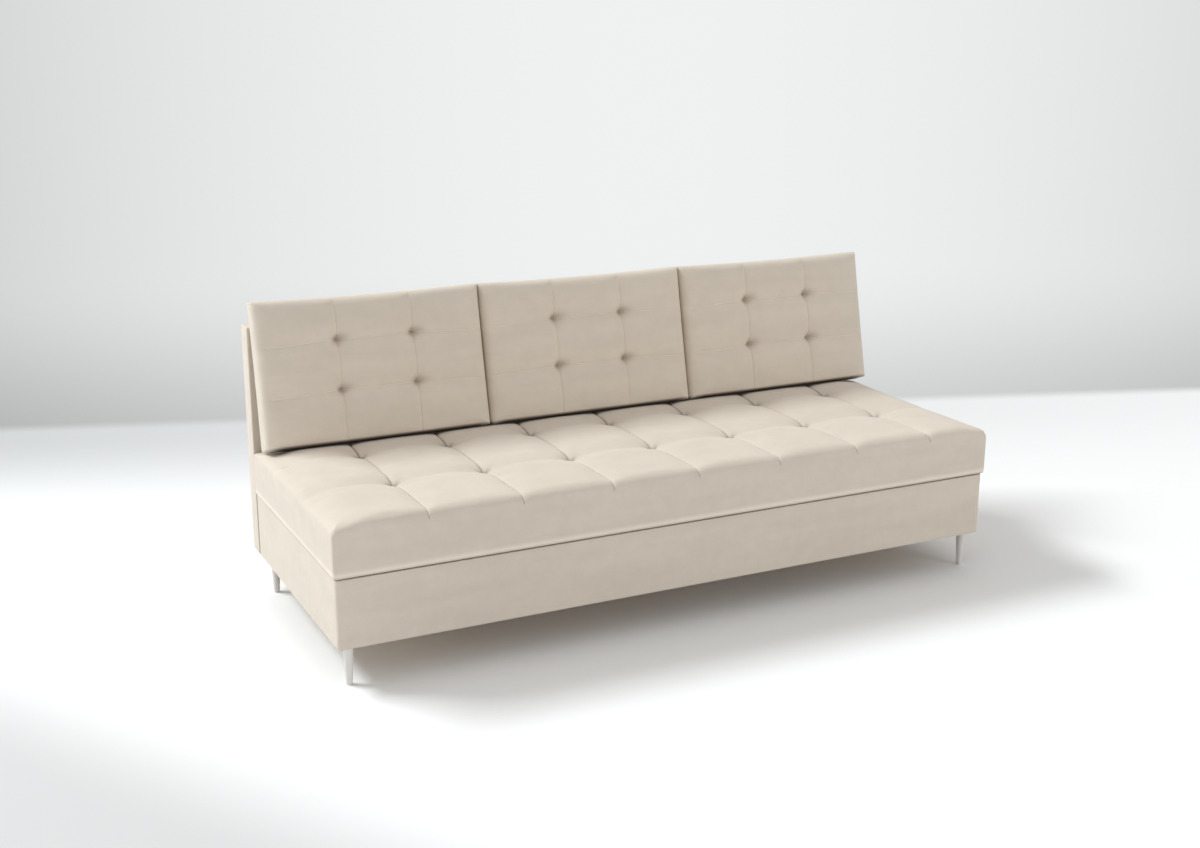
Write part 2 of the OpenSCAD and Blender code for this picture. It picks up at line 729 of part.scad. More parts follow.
// How far out of the back, on u = r, a circle of radius r lies that touches an arc from inside:
// the arc's centre is o, in (u along the edge, w out of the back), and its radius is big_r
function round_w(o, big_r, r) = o[1] + sqrt(pow(big_r - r, 2) - pow(r - o[0], 2));

// The arc through (0, t0) and (span, t1) that stands out by rise in the middle
function arc_radius(span, t0, t1, rise) =
  (pow(norm([span, t1 - t0]) / 2, 2) + rise * rise) / (2 * rise);
function arc_centre(span, t0, t1, rise) =
  let (r = arc_radius(span, t0, t1, rise), n = [t0 - t1, span] / norm([span, t1 - t0]))
  [span / 2, (t0 + t1) / 2] + n * (rise - r);

// A section with a flat back, an arched front and rounded corners, in (u, w):
// the back lies on w = 0, u runs from 0 to span
module pad_section(span, t0, t1, rise, r) {
  o = arc_centre(span, t0, t1, rise);
  big_r = arc_radius(span, t0, t1, rise);
  o_far = [span - o[0], o[1]];
  difference() {
    intersection() {
      square([span, max(t0, t1) + rise]);
      translate(o) circle(big_r, $fn = 720);
    }
    corner_cut(0, 0, 1, 1, r);
    corner_cut(span, 0, -1, 1, r);
    front_cut(o, big_r, r);
    translate([span, 0]) mirror([1, 0]) front_cut(o_far, big_r, r);
  }
}

// What rounding takes off the corner between u = 0 and the arched front, in flat steps
module front_cut(o, big_r, r) {
  c = [r, round_w(o, big_r, r)];
  last = atan2(c[1] - o[1], c[0] - o[0]);
  rim = [for (i = [0 : round_steps]) let (a = 180 + (last - 180) * i / round_steps) c + r * [cos(a), sin(a)]];
  before = rim[0] * 1.6 - rim[1] * 0.6;
  past = rim[round_steps] * 1.6 - rim[round_steps - 1] * 0.6;
  inner = [for (i = [1 : round_steps - 1]) rim[i]];
  polygon(concat([before], inner, [past, past + [0, r], [before[0], past[1] + r]]));
}

// The cushion's outer form, set in by a skin on every side
module pad_form(in) intersection() {
  // side view: u is the height, w comes forward
  rotate([0, -90, 0]) mirror([0, 1, 0]) translate([in, in, -cushion_w / 2 + in])
    linear_extrude(cushion_w - 2 * in)
      pad_section(cushion_h - 2 * in, cushion_bottom_t - 2 * in, cushion_top_t - 2 * in,
        cushion_crown, cushion_r - in);
  // plan: u is the width, w comes forward
  mirror([0, 1, 0]) translate([-cushion_w / 2 + in, in, -eps]) linear_extrude(cushion_h + 2 * eps)
    pad_section(cushion_w - 2 * in, cushion_mid_t - 2 * in, cushion_mid_t - 2 * in,
      cushion_crown, cushion_r - in);
  // front view
  rotate([90, 0, 0]) translate([0, 0, -eps]) linear_extrude(cushion_bottom_t + cushion_crown + 2 * eps)
    soft_rect(-cushion_w / 2 + in, cushion_w / 2 - in, in, cushion_h - in,
      [1, 1, 1, 1] * (cushion_r + 8 - in));
}

// Places its child at the four tufts of a cushion
module at_pad_tufts() for (x = [-1, 1] * cushion_tuft_cols / 2, z = cushion_tuft_z)
  translate([x, 0, z]) children();

module pad_tufts(r) at_pad_tufts()
  translate([0, -tuft_front_t + cushion_tuft_deep - cushion_tuft_r, 0]) sphere(r);

module pad_skin(in) difference() {
  pad_form(in);
  pad_tufts(cushion_tuft_r + in);
}

// The zip's tape under a cushion, from a level up to the inside of the cover
module zip_tape(lo) translate([0, -cushion_bottom_t / 2, 0])
  block([-zip_l / 2, -zip_w / 2, lo], [zip_l / 2, zip_w / 2, cover_t]);

module cushion_at(i) translate([cushion_x[i], panel_y - foot_fwd(cushion_foot_z), cushion_foot_z])
  rotate([-cushion_lean, 0, 0]) children();

module pad_cover() difference() {
  pad_skin(0);
  pad_skin(cover_t);
  zip_tape(-eps);
}

module pad_core() difference() {
  pad_skin(cover_t);
  at_pad_tufts() rotate([90, 0, 0]) cylinder(h = tuft_front_t + cushion_crown, r = tie_d / 2 + 0.5);
}

module pad_ties() at_pad_tufts() translate([0, -cover_t, 0]) rotate([90, 0, 0])
  cylinder(h = tuft_front_t - cushion_tuft_deep - 2 * cover_t, r = tie_d / 2);

// Tape with its slider below the tape
module pad_zip() {
  zip_tape(0);
  translate([zip_l / 2 - slider[2], -cushion_bottom_t / 2, 0])
    block([-slider[0], -zip_w / 2, -slider[1]], [0, zip_w / 2, 0]);
}

module left_cushion_cover() color(velour) cushion_at(0) pad_cover();
module middle_cushion_cover() color(velour) cushion_at(1) pad_cover();
module right_cushion_cover() color(velour) cushion_at(2) pad_cover();
module left_cushion_core() color(foam) cushion_at(0) pad_core();
module middle_cushion_core() color(foam) cushion_at(1) pad_core();
module right_cushion_core() color(foam) cushion_at(2) pad_core();
module left_cushion_ties() color("#e9e2d4") cushion_at(0) pad_ties();
module middle_cushion_ties() color("#e9e2d4") cushion_at(1) pad_ties();
module right_cushion_ties() color("#e9e2d4") cushion_at(2) pad_ties();
module left_cushion_zip() color(dark_plastic) cushion_at(0) pad_zip();
module middle_cushion_zip() color(dark_plastic) cushion_at(1) pad_zip();
module right_cushion_zip() color(dark_plastic) cushion_at(2) pad_zip();

// ---------- the assembly ----------
base_front_board();
base_rear_board();
base_left_board();
base_right_board();
base_corner_blocks();
base_floor_bearers();
base_floor_board();
base_cover();
leg_front_left();
leg_front_right();
leg_rear_left();
leg_rear_right();
leg_studs();
leg_inserts();
leg_glides();
back_top_rail();
back_middle_rail();
back_bottom_rail();
back_stiles();
back_front_board();
back_lower_packer();
back_foam();
back_rear_card();
back_cover();
back_bolts();
back_nuts();
lift_base_plates();
lift_base_screws();
lift_lower_pins();
rear_links();
front_links();
lift_seat_brackets();
lift_bracket_screws();
lift_upper_pins();
seat_front_rail();
seat_rear_rail();
seat_end_rails();
seat_cross_rails();
seat_deck();
seat_foam();
seat_cover();
seat_tuft_ties();
seat_underlining();
left_cushion_cover();
left_cushion_core();
left_cushion_ties();
left_cushion_zip();
middle_cushion_cover();
middle_cushion_core();
middle_cushion_ties();
middle_cushion_zip();
right_cushion_cover();
right_cushion_core();
right_cushion_ties();
right_cushion_zip();
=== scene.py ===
"""The dressed armless sofa: covers, stuffed back cushions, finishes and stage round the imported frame."""

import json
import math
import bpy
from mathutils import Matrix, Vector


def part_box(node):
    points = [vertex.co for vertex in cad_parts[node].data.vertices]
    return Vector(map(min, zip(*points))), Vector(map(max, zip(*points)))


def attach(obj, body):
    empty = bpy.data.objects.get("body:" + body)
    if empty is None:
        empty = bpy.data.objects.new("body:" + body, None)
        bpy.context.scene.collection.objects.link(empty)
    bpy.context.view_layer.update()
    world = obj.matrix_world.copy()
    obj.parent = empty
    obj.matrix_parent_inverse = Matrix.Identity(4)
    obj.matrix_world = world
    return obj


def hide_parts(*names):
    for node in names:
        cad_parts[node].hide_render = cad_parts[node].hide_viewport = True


bl_info = {
    "name": "Armless sofa",
    "version": (1, 0, 0),
    "blender": (4, 5, 0),
    "location": "3D View > Sidebar > Sofa",
    "description": "Dresses the frame of an armless sofa with its covers, cushions and finishes",
    "category": "Object",
}

import bmesh
import bpy
from bpy.props import FloatProperty, FloatVectorProperty, IntProperty, PointerProperty
from mathutils import Matrix, Vector, noise

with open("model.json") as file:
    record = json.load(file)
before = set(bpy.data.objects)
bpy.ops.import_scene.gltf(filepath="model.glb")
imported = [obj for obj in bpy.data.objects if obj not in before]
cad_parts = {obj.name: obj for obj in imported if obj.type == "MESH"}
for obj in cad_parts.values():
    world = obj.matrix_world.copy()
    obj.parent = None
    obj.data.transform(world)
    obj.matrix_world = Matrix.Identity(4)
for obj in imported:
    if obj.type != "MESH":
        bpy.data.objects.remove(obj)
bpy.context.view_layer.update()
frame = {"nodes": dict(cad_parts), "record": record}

# Places of the frame, from its own solids
BOX_LOW, BOX_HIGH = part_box("base_cover")
PANEL_LOW, PANEL_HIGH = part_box("back_cover")
SEAT_LOW, SEAT_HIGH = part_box("seat_cover")
SEAT_TIE_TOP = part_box("seat_tuft_ties")[1][2] + 0.002

# Behind this Y the back cushions cover the seat
UNDER_PADS = 0.2


# ---------- settings ----------


def size_prop(name, description, default, low, high):
    """A size in metres"""
    return FloatProperty(name=name, description=description, default=default, min=low, max=high,
                         unit="LENGTH")


def power_prop(name, description, default):
    """A lamp's power in watts"""
    return FloatProperty(name=name, description=description, default=default, min=0, unit="POWER")


def colour_prop(name, description, default):
    """A colour without alpha"""
    return FloatVectorProperty(name=name, description=description, default=default, size=3, min=0, max=1,
                               subtype="COLOR")


class SofaCovers(bpy.types.PropertyGroup):
    """Sizes of the box, panel and seat covers"""

    wall: size_prop("Cover thickness", "Thickness of the fabric over the boards", 0.0012, 0.0005, 0.002)
    corner: size_prop("Box corner", "Rounding of the box's front corners", 0.012, 0.005, 0.02)
    board_width: size_prop("Turned-in width", "Width of the fabric turned in over the boards' edges",
                           0.024, 0.015, 0.024)
    panel_edge: size_prop("Panel edge", "Rounding of the back panel's edges", 0.003, 0.002, 0.014)
    rim: size_prop("Box rim", "Rounding of the box's upper rim", 0.006, 0.002, 0.008)
    seat_top: size_prop("Seat top", "Height of the pillows between the seat's tufts", 0.449, 0.436, 0.45)
    seat_roll: size_prop("Seat roll", "Rounding of the seat's upper edges", 0.025, 0.015, 0.04)
    seat_corner: size_prop("Seat corner", "Rounding of the seat's upright corners", 0.010, 0.006, 0.02)
    seat_foot: size_prop("Seat foot", "Rounding of the seat's lower edges", 0.0075, 0.003, 0.0095)
    slack: size_prop("Slack", "Height of the slow waves in a flat cover", 0.0007, 0.0, 0.002)


class SofaTufting(bpy.types.PropertyGroup):
    """Tufts and sewn lines of the seat and the back cushions"""

    seat_columns: IntProperty(name="Seat columns", description="Number of columns of tufts in the seat",
                              default=7, min=5, max=8)
    seat_left: size_prop("Seat left column", "From the seat's left end to its first column", 0.250, 0.15, 0.3)
    seat_right: size_prop("Seat right column", "From the seat's right end to its last column",
                          0.213, 0.15, 0.3)
    seat_front: size_prop("Seat front row", "From the seat's front to its first row", 0.270, 0.22, 0.32)
    seat_rows: size_prop("Seat rows", "Distance between the seat's two rows", 0.271, 0.22, 0.3)
    seat_seam: size_prop("Seat seam depth", "Depth of the sewn lines across the seat", 0.0065, 0.002, 0.01)
    seat_valley: size_prop("Seat valley depth", "Depth of the unsewn valleys along the seat",
                           0.007, 0.002, 0.012)
    seat_depth: size_prop("Seat tuft depth", "Depth of a tuft below its sewn line", 0.014, 0.005, 0.02)
    pad_columns: size_prop("Cushion columns", "Distance between a cushion's columns of tufts",
                           0.224, 0.2, 0.24)
    pad_shift: size_prop("Cushion shift", "How far the columns lie right of the cushion's middle",
                         0.006, -0.02, 0.02)
    pad_low: size_prop("Cushion lower row", "Height of a cushion's lower row of tufts", 0.160, 0.12, 0.18)
    pad_rows: size_prop("Cushion rows", "Distance between a cushion's two rows", 0.142, 0.12, 0.16)
    pad_bow: size_prop("Cushion bow", "How far the rows sink from the tufts to the ends", 0.007, 0.0, 0.012)
    pad_seam: size_prop("Cushion seam depth", "Depth of a cushion's sewn lines", 0.005, 0.001, 0.008)
    pad_depth: size_prop("Cushion tuft depth", "Depth of a tuft below its sewn lines", 0.026, 0.008, 0.03)


class SofaCushions(bpy.types.PropertyGroup):
    """Sizes and stuffing of the three back cushions"""

    width: size_prop("Width", "Width of a cushion", 0.672, 0.5, 0.7)
    height: size_prop("Height", "Height of a cushion along its back", 0.426, 0.36, 0.46)
    bottom: size_prop("Bottom thickness", "Thickness at the bottom edge", 0.078, 0.05, 0.085)
    top: size_prop("Top thickness", "Thickness at the top edge", 0.060, 0.04, 0.075)
    crown: size_prop("Crown", "How far the front stands out in the middle before it is stuffed",
                     0.008, 0.0, 0.03)
    edge: size_prop("Edge", "Rounding of the edges round a cushion's front", 0.026, 0.01, 0.03)
    waist: size_prop("Waist", "How far the top pulls in between the corners", 0.005, 0.0, 0.01)
    lift: size_prop("Lift", "How far the bottom rises towards the front", 0.010, 0.0, 0.02)
    lean: FloatProperty(name="Lean", description="Angle of the cushions from upright",
                        default=math.radians(10.3), subtype="ANGLE", unit="ROTATION")
    foot: FloatVectorProperty(name="Foot", description="Rear bottom edge of the middle cushion",
                              default=(0.014, 0.28588, 0.42873), size=3, subtype="TRANSLATION", unit="LENGTH")
    step: size_prop("Step", "Distance from cushion to cushion", 0.673, 0.6, 0.75)
    pressure: FloatProperty(name="Pressure", description="Pressure of the stuffing",
                            default=4.0, min=0, max=10)
    swell: size_prop("Swell", "Most that the stuffing moves the cushions' fabric", 0.010, 0.0, 0.03)
    seat_swell: size_prop("Seat swell", "Most that the stuffing moves the seat's fabric", 0.007, 0.0, 0.016)
    steps: IntProperty(name="Steps", description="Steps of the stuffing", default=20, min=1, max=40)


class SofaFinishes(bpy.types.PropertyGroup):
    """Colours of the sofa"""

    velour: colour_prop("Velour", "Colour of the velour", (0.735, 0.655, 0.558))
    leg: colour_prop("Legs", "Colour of the legs", (0.78, 0.755, 0.72))
    glide: colour_prop("Glides", "Colour of the glides", (0.78, 0.76, 0.73))
    timber: colour_prop("Timber", "Colour of the softwood", (0.62, 0.45, 0.27))
    plywood: colour_prop("Plywood", "Colour of the plywood", (0.56, 0.40, 0.24))
    steel: colour_prop("Steel", "Colour of the zinc-plated steel", (0.50, 0.52, 0.54))
    lining: colour_prop("Lining", "Colour of the black lining", (0.03, 0.03, 0.03))


class SofaStage(bpy.types.PropertyGroup):
    """Camera, lamps and floor"""

    lens: FloatProperty(name="Lens", description="Focal length",
                        default=46.21, min=20, max=120, unit="CAMERA")
    key: power_prop("Key lamp", "Power of the lamp behind and left", 2410.0)
    right: power_prop("Right lamp", "Power of the lamp before and right", 150.0)
    left: power_prop("Left lamp", "Power of the low lamp at the left", 50.0)
    fill: FloatProperty(name="Fill", description="Strength of the light from all round",
                        default=0.56, min=0, max=2)
    floor: colour_prop("Floor", "Colour of the floor", (0.75, 0.755, 0.76))
    wall: colour_prop("Wall", "Colour of the background", (0.856, 0.882, 0.872))


class SofaSettings(bpy.types.PropertyGroup):
    """Everything that a user of the sofa would change"""

    covers: PointerProperty(type=SofaCovers)
    tufting: PointerProperty(type=SofaTufting)
    cushions: PointerProperty(type=SofaCushions)
    finishes: PointerProperty(type=SofaFinishes)
    stage: PointerProperty(type=SofaStage)


# ---------- shaders ----------


class Value:
    """A shader socket. Arithmetic on it adds Math nodes."""

    def __init__(self, shader, socket):
        self.shader, self.socket = shader, socket

    def math(self, operation, *values):
        return self.shader.math(operation, *values)

    def __add__(self, other):
        return self.math("ADD", self, other)

    def __radd__(self, other):
        return self.math("ADD", other, self)

    def __sub__(self, other):
        return self.math("SUBTRACT", self, other)

    def __rsub__(self, other):
        return self.math("SUBTRACT", other, self)

    def __mul__(self, other):
        return self.math("MULTIPLY", self, other)

    def __rmul__(self, other):
        return self.math("MULTIPLY", other, self)

    def __truediv__(self, other):
        return self.math("DIVIDE", self, other)

    def __rtruediv__(self, other):
        return self.math("DIVIDE", other, self)

    def least(self, other):
        return self.math("MINIMUM", self, other)

    def most(self, other):
        return self.math("MAXIMUM", self, other)

    def to_line(self):
        """Distance to the nearest whole number"""
        return self.math("PINGPONG", self, 0.5)

    def between(self, low, high):
        """0 below low, 1 above high, smooth between"""
        return self.shader.add("ShaderNodeMapRange", {"interpolation_type": "SMOOTHSTEP"},
                               {"Value": self, "From Min": low, "From Max": high})


class Shader:
    """The nodes of one material, or of the world"""

    def __init__(self, name, kind="materials"):
        self.made = getattr(bpy.data, kind).new(name)
        self.made.use_nodes = True
        self.tree = self.made.node_tree
        self.tree.nodes.clear()

    def add(self, kind, settings=None, sockets=(), out=0):
        """Adds a node: its settings first, then the values or links of its sockets"""
        node = self.tree.nodes.new(kind)
        for name, value in (settings or {}).items():
            setattr(node, name, value)
        pairs = sockets.items() if isinstance(sockets, dict) else enumerate(sockets)
        for key, value in pairs:
            if isinstance(value, Value):
                self.tree.links.new(value.socket, node.inputs[key])
            else:
                node.inputs[key].default_value = value
        return Value(self, node.outputs[out]) if node.outputs else None

    def math(self, operation, *values):
        return self.add("ShaderNodeMath", {"operation": operation}, values)

    def place(self):
        return self.add("ShaderNodeTexCoord", out="Object")

    def numbers(self, vector):
        """A vector's X, Y and Z"""
        split = self.add("ShaderNodeSeparateXYZ", sockets=[vector]).socket.node
        return [Value(self, socket) for socket in split.outputs]

    def sewing(self):
        """The piece's own cloth coordinates, counted in panels between sewn lines"""
        return self.numbers(self.add("ShaderNodeUVMap", {"uv_map": "sewing"}))[:2]

    def attribute(self, name):
        return self.add("ShaderNodeAttribute", {"attribute_name": name}, out="Fac")

    def ray(self, name):
        """1 for the named kind of ray, otherwise 0"""
        return self.add("ShaderNodeLightPath", out=name)

    def noise(self, where, scale, detail=2.0, roughness=0.5):
        return self.add("ShaderNodeTexNoise", {"noise_dimensions": "3D"},
                        {"Vector": where, "Scale": scale, "Detail": detail, "Roughness": roughness})

    def stretched(self, where, scale):
        return self.add("ShaderNodeMapping", sockets={"Vector": where, "Scale": scale})

    def tint(self, share, low, high):
        """A colour between two others"""
        return self.add("ShaderNodeMix", {"data_type": "RGBA"},
                        {0: share, 6: low if isinstance(low, Value) else (*low, 1),
                         7: high if isinstance(high, Value) else (*high, 1)}, out=2)

    def bump(self, height, depth):
        return self.add("ShaderNodeBump", sockets={"Strength": 1.0, "Distance": depth, "Height": height})

    def surface(self, **sockets):
        sockets = {name.replace("_", " "): value for name, value in sockets.items()}
        return self.add("ShaderNodeBsdfPrincipled", sockets=sockets)

    def mixed(self, share, first, second):
        """A surface between two others"""
        return self.add("ShaderNodeMixShader", sockets=[share, first, second])

    def finish(self, surface, output="ShaderNodeOutputMaterial"):
        self.add(output, sockets=[surface])
        return self.made


def shade(colour, share):
    """A colour made lighter or darker"""
    return tuple(min(1.0, c * share) for c in colour)


# Dark matt pile: crushed pile, and painted shade where the cushions meet the seat, in tufts and in creases
SHADE_AND_CRUSHED_PILE = (0.075, 0.042, 0.022, 1)


def velour(name, colour, pitch=None, thread=None):
    """Short-pile velour, painted dark and matt where its pile is crushed and where shade falls in tufts,
    creases and contacts, and painted lighter as a highlight along a marked edge. With a pitch, sewn lines lie
    on the piece's whole cloth coordinates, in the thread's share of the colour: below 1 a painted crease
    shade, above 1 a painted highlight."""
    s = Shader(name)
    where = s.place()
    brushed = s.noise(s.stretched(where, (0.4, 1.0, 2.6)), 7.0, 4.0, 0.6)
    patches = s.noise(where, 22.0, 3.0, 0.6)
    pile = s.noise(where, 850.0, 2.0, 0.7)
    slow = s.noise(s.stretched(where, (1.0, 1.6, 3.0)), 9.0, 3.0, 0.55)
    mottle = (brushed * 0.62 + patches * 0.38).between(0.3, 0.72)
    tone = s.tint(mottle, shade(colour, 0.94), shade(colour, 1.04))
    tone = s.tint(pile.between(0.25, 0.75) * 0.4, tone, shade(colour, 0.86))
    # Painted highlight along a marked edge
    tone = s.tint(s.attribute("worn") * 0.7, tone, shade(colour, 1.3))
    height = pile * 0.10 + slow
    if pitch:
        across, along = s.sewing()
        reach = (across.to_line() * pitch[0]).most(1.0 - s.attribute("sewn_across"))
        other = (along.to_line() * pitch[1]).most(1.0 - s.attribute("sewn_along"))
        seam = 1.0 - reach.least(other).between(0.0004, 0.0022)
        # Sewn lines: a painted crease shade when the share is below 1, a painted highlight when above
        tone = s.tint(seam * 0.6, tone, shade(colour, thread))
        height = height - seam * 0.35
    upright = s.surface(Base_Color=tone, Roughness=0.80 + mottle * 0.12, Normal=s.bump(height, 0.0016),
                        Sheen_Weight=0.5, Sheen_Roughness=0.34, Sheen_Tint=(1.0, 0.97, 0.93, 1),
                        Specular_IOR_Level=0.22)
    # Where marked, a dark matt surface without sheen: painted shade with some crushed pile
    crushed_and_shaded = s.surface(Base_Color=SHADE_AND_CRUSHED_PILE, Roughness=0.95, Specular_IOR_Level=0.1)
    return s.finish(s.mixed(s.attribute("pressed"), upright, crushed_and_shaded))


def paint(name, colour, roughness=0.38, coat=0.25):
    """Satin paint with a faint orange peel"""
    s = Shader(name)
    where = s.place()
    peel = s.noise(where, 240.0, 2.0)
    wear = s.noise(where, 30.0, 4.0, 0.65).between(0.55, 0.8)
    tone = s.tint(wear * 0.4, colour, shade(colour, 0.86))
    return s.finish(s.surface(Base_Color=tone, Roughness=roughness + wear * 0.1, Coat_Weight=coat,
                              Coat_Roughness=0.3, Normal=s.bump(peel, 0.00006)))


def wood(name, colour, grain):
    """Planed wood or board. The grain runs along the axis with the smallest number."""
    s = Shader(name)
    where = s.place()
    fibres = s.noise(s.stretched(where, grain), 60.0, 4.0, 0.6)
    figure = s.noise(s.stretched(where, tuple(0.5 * g + 0.05 for g in grain)), 9.0, 3.0, 0.55)
    share = (fibres * 0.5 + figure * 0.7).between(0.35, 0.8)
    tone = s.tint(share, shade(colour, 1.12), shade(colour, 0.66))
    return s.finish(s.surface(Base_Color=tone, Roughness=0.55 + share * 0.2, Normal=s.bump(fibres, 0.0003)))


def steel(name, colour, roughness=0.36):
    """Plated steel with fine rolling marks"""
    s = Shader(name)
    where = s.place()
    marks = s.noise(s.stretched(where, (0.3, 1.0, 6.0)), 120.0, 3.0, 0.6)
    bloom = s.noise(where, 26.0, 3.0, 0.6)
    tone = s.tint(bloom, shade(colour, 0.88), shade(colour, 1.1))
    return s.finish(s.surface(Base_Color=tone, Metallic=1.0, Roughness=roughness + marks * 0.16,
                              Normal=s.bump(marks, 0.00005)))


def plastic(name, colour, roughness=0.55):
    """Moulded plastic with a fine spark texture"""
    s = Shader(name)
    where = s.place()
    grain = s.noise(where, 900.0, 2.0, 0.6)
    dust = s.noise(where, 45.0, 3.0, 0.6)
    tone = s.tint(dust, shade(colour, 0.93), shade(colour, 1.04))
    return s.finish(s.surface(Base_Color=tone, Roughness=roughness + dust * 0.1,
                              Normal=s.bump(grain, 0.00008)))


def woven(name, colour, thread=0.0006):
    """Plain woven or bonded cloth"""
    s = Shader(name)
    where = s.place()
    warp, weft = [(number * (0.5 / thread)).to_line() for number in s.numbers(where)[:2]]
    fluff = s.noise(where, 300.0, 3.0, 0.6)
    cloth = warp * weft * 3.0 + fluff * 0.4
    tone = s.tint(fluff, shade(colour, 0.8), shade(colour, 1.25))
    return s.finish(s.surface(Base_Color=tone, Roughness=0.92, Normal=s.bump(cloth, 0.0003)))


MADE = {}


def finish_named(name):
    """One finish, made the first time that a piece asks for it"""
    if name in MADE:
        return MADE[name]
    f = bpy.context.scene.sofa.finishes
    t = bpy.context.scene.sofa.tufting
    makers = {
        "velour": lambda: velour("velour_plain", f.velour),
        # Sewn lines painted darker on the seat as crease shade and lighter on the cushions as a highlight
        "seat_velour": lambda: velour("velour_seat", f.velour, (seat_pitch(t), t.seat_rows), 0.55),
        "cushion_velour": lambda: velour("velour_cushions", f.velour, (t.pad_columns, t.pad_rows), 1.2),
        "leg_paint": lambda: paint("satin_leg_paint", f.leg),
        "glide_plastic": lambda: plastic("moulded_glide", f.glide),
        "zip_plastic": lambda: plastic("coil_zip", shade(f.velour, 0.75)),
        "timber": lambda: wood("planed_softwood", f.timber, (0.05, 1.0, 1.0)),
        "hardboard": lambda: wood("pressed_board", shade(f.timber, 0.6), (0.6, 1.0, 0.6)),
        "plywood": lambda: wood("birch_plywood", f.plywood, (0.05, 0.6, 1.0)),
        "zinc_steel": lambda: steel("plated_steel", f.steel),
        "bright_steel": lambda: steel("turned_steel", shade(f.steel, 1.35), 0.24),
        "lining": lambda: woven("bonded_lining", f.lining),
        "twine": lambda: woven("tuft_twine", shade(f.velour, 1.1), 0.0009),
        "foam": lambda: plastic("cut_foam", (0.80, 0.72, 0.45), 0.9),
    }
    MADE[name] = makers[name]()
    return MADE[name]


# ---------- meshes ----------


def block(low, high):
    """A box between two corners, as a bmesh"""
    bm = bmesh.new()
    bmesh.ops.create_cube(bm, size=1.0)
    size, centre = Vector(high) - Vector(low), (Vector(high) + Vector(low)) / 2
    bmesh.ops.scale(bm, vec=size, verts=bm.verts)
    bmesh.ops.translate(bm, vec=centre, verts=bm.verts)
    return bm


def bevel(bm, edges, radius, segments):
    bmesh.ops.bevel(bm, geom=edges, offset=radius, offset_type="OFFSET", segments=segments, profile=0.5,
                    affect="EDGES", material=-1, clamp_overlap=True)


def round_edges(bm, test, radius, segments):
    """Rounds the edges whose middle and direction pass a test"""
    edges = []
    for e in bm.edges:
        a, b = e.verts[0].co, e.verts[1].co
        if test((a + b) / 2, (b - a).normalized()):
            edges.append(e)
    bevel(bm, edges, radius, segments)


def cut_across(bm, axis, places):
    """Cuts the whole mesh at places along an axis"""
    normal = Vector([1.0 if i == axis else 0.0 for i in range(3)])
    for p in places:
        bmesh.ops.bisect_plane(bm, geom=bm.verts[:] + bm.edges[:] + bm.faces[:], dist=1e-6,
                               plane_co=normal * p, plane_no=normal)


def even_cuts(low, high, step):
    n = max(1, round((high - low) / step))
    return [low + (high - low) * i / n for i in range(1, n)]


def cut_places(low, high, lines, close, far):
    """Places between low and high for cuts that crowd round each line and are at most far apart elsewhere"""
    near = sorted({line + side * step for line in lines for step in (0.0, *close) for side in (-1, 1)})
    places, last = [], low
    for place in [p for p in near if low + 0.0005 < p < high - 0.0005] + [high]:
        if place - last > far:
            count = math.ceil((place - last) / far)
            places += [last + (place - last) * i / count for i in range(1, count)]
        if place < high:
            places.append(place)
        last = place
    return places


# Where a rolled edge is cut, in shares of its radius
ROLL_CUTS = (0.03, 0.11, 0.25, 0.44, 0.68, 0.97)


def rolled_cuts(low, high, radius, lines, close, far):
    """Places for cuts that follow the rolled edges at both ends and crowd round the lines between"""
    fall = [f * radius for f in ROLL_CUTS]
    inside = cut_places(low + fall[-1], high - fall[-1], lines, close, far)
    return sorted([low + f for f in fall] + [high - f for f in fall] + inside)


def roll(edge, radius):
    """How far a rolled edge falls at a distance from the side"""
    reach = radius - min(radius, max(0.0, edge))
    return radius - math.sqrt(radius * radius - reach * reach)


def piece(name, bm, material, smooth=True):
    """Turns a bmesh into a piece of the sofa"""
    bmesh.ops.recalc_face_normals(bm, faces=bm.faces)
    mesh = bpy.data.meshes.new(name)
    bm.to_mesh(mesh)
    bm.free()
    for p in mesh.polygons:
        p.use_smooth = smooth
    made = bpy.data.objects.new(name, mesh)
    bpy.context.collection.objects.link(made)
    if material:
        mesh.materials.append(finish_named(material))
    return made


def settle(obj):
    """Applies the modifiers of a piece to its mesh"""
    bpy.context.view_layer.update()
    made = obj.evaluated_get(bpy.context.evaluated_depsgraph_get())
    mesh = bpy.data.meshes.new_from_object(made)
    obj.modifiers.clear()
    old, obj.data = obj.data, mesh
    bpy.data.meshes.remove(old)
    mesh.name = obj.name


def subdivide(obj):
    step = obj.modifiers.new("finer faces", "SUBSURF")
    step.levels = step.render_levels = 1
    settle(obj)


def ease(value):
    """0 to 1, smooth at both ends"""
    value = min(1.0, max(0.0, value))
    return value * value * (3 - 2 * value)


def bell(distance, reach):
    """1 at the middle, falling off smoothly to both sides"""
    return math.exp(-(distance / reach) ** 2)


def fade(distance, reach):
    """1 at the middle, falling off steeply at first"""
    return math.exp(-distance / reach)


def nearest(value, lines):
    return min(lines, key=lambda line: abs(value - line))


def to_nearest(value, lines):
    return min(abs(value - line) for line in lines)


def wave(point, size, seed=0.0):
    """Slow noise between -1 and 1"""
    return noise.noise(Vector(point) / size + Vector((seed, seed * 0.7, seed * 1.3)))


def mark(obj, name, values):
    """Stores a number at each vertex"""
    layer = obj.data.attributes.get(name) or obj.data.attributes.new(name, "FLOAT", "POINT")
    layer.data.foreach_set("value", values)


def lay_out(obj, across, along):
    """Stores a piece's cloth coordinates in its UV map, counted in panels"""
    mesh = obj.data
    layer = mesh.uv_layers.get("sewing") or mesh.uv_layers.new(name="sewing")
    flat = [0.0] * (2 * len(mesh.loops))
    for loop in mesh.loops:
        co = mesh.vertices[loop.vertex_index].co
        flat[2 * loop.index], flat[2 * loop.index + 1] = across(co), along(co)
    layer.data.foreach_set("uv", flat)


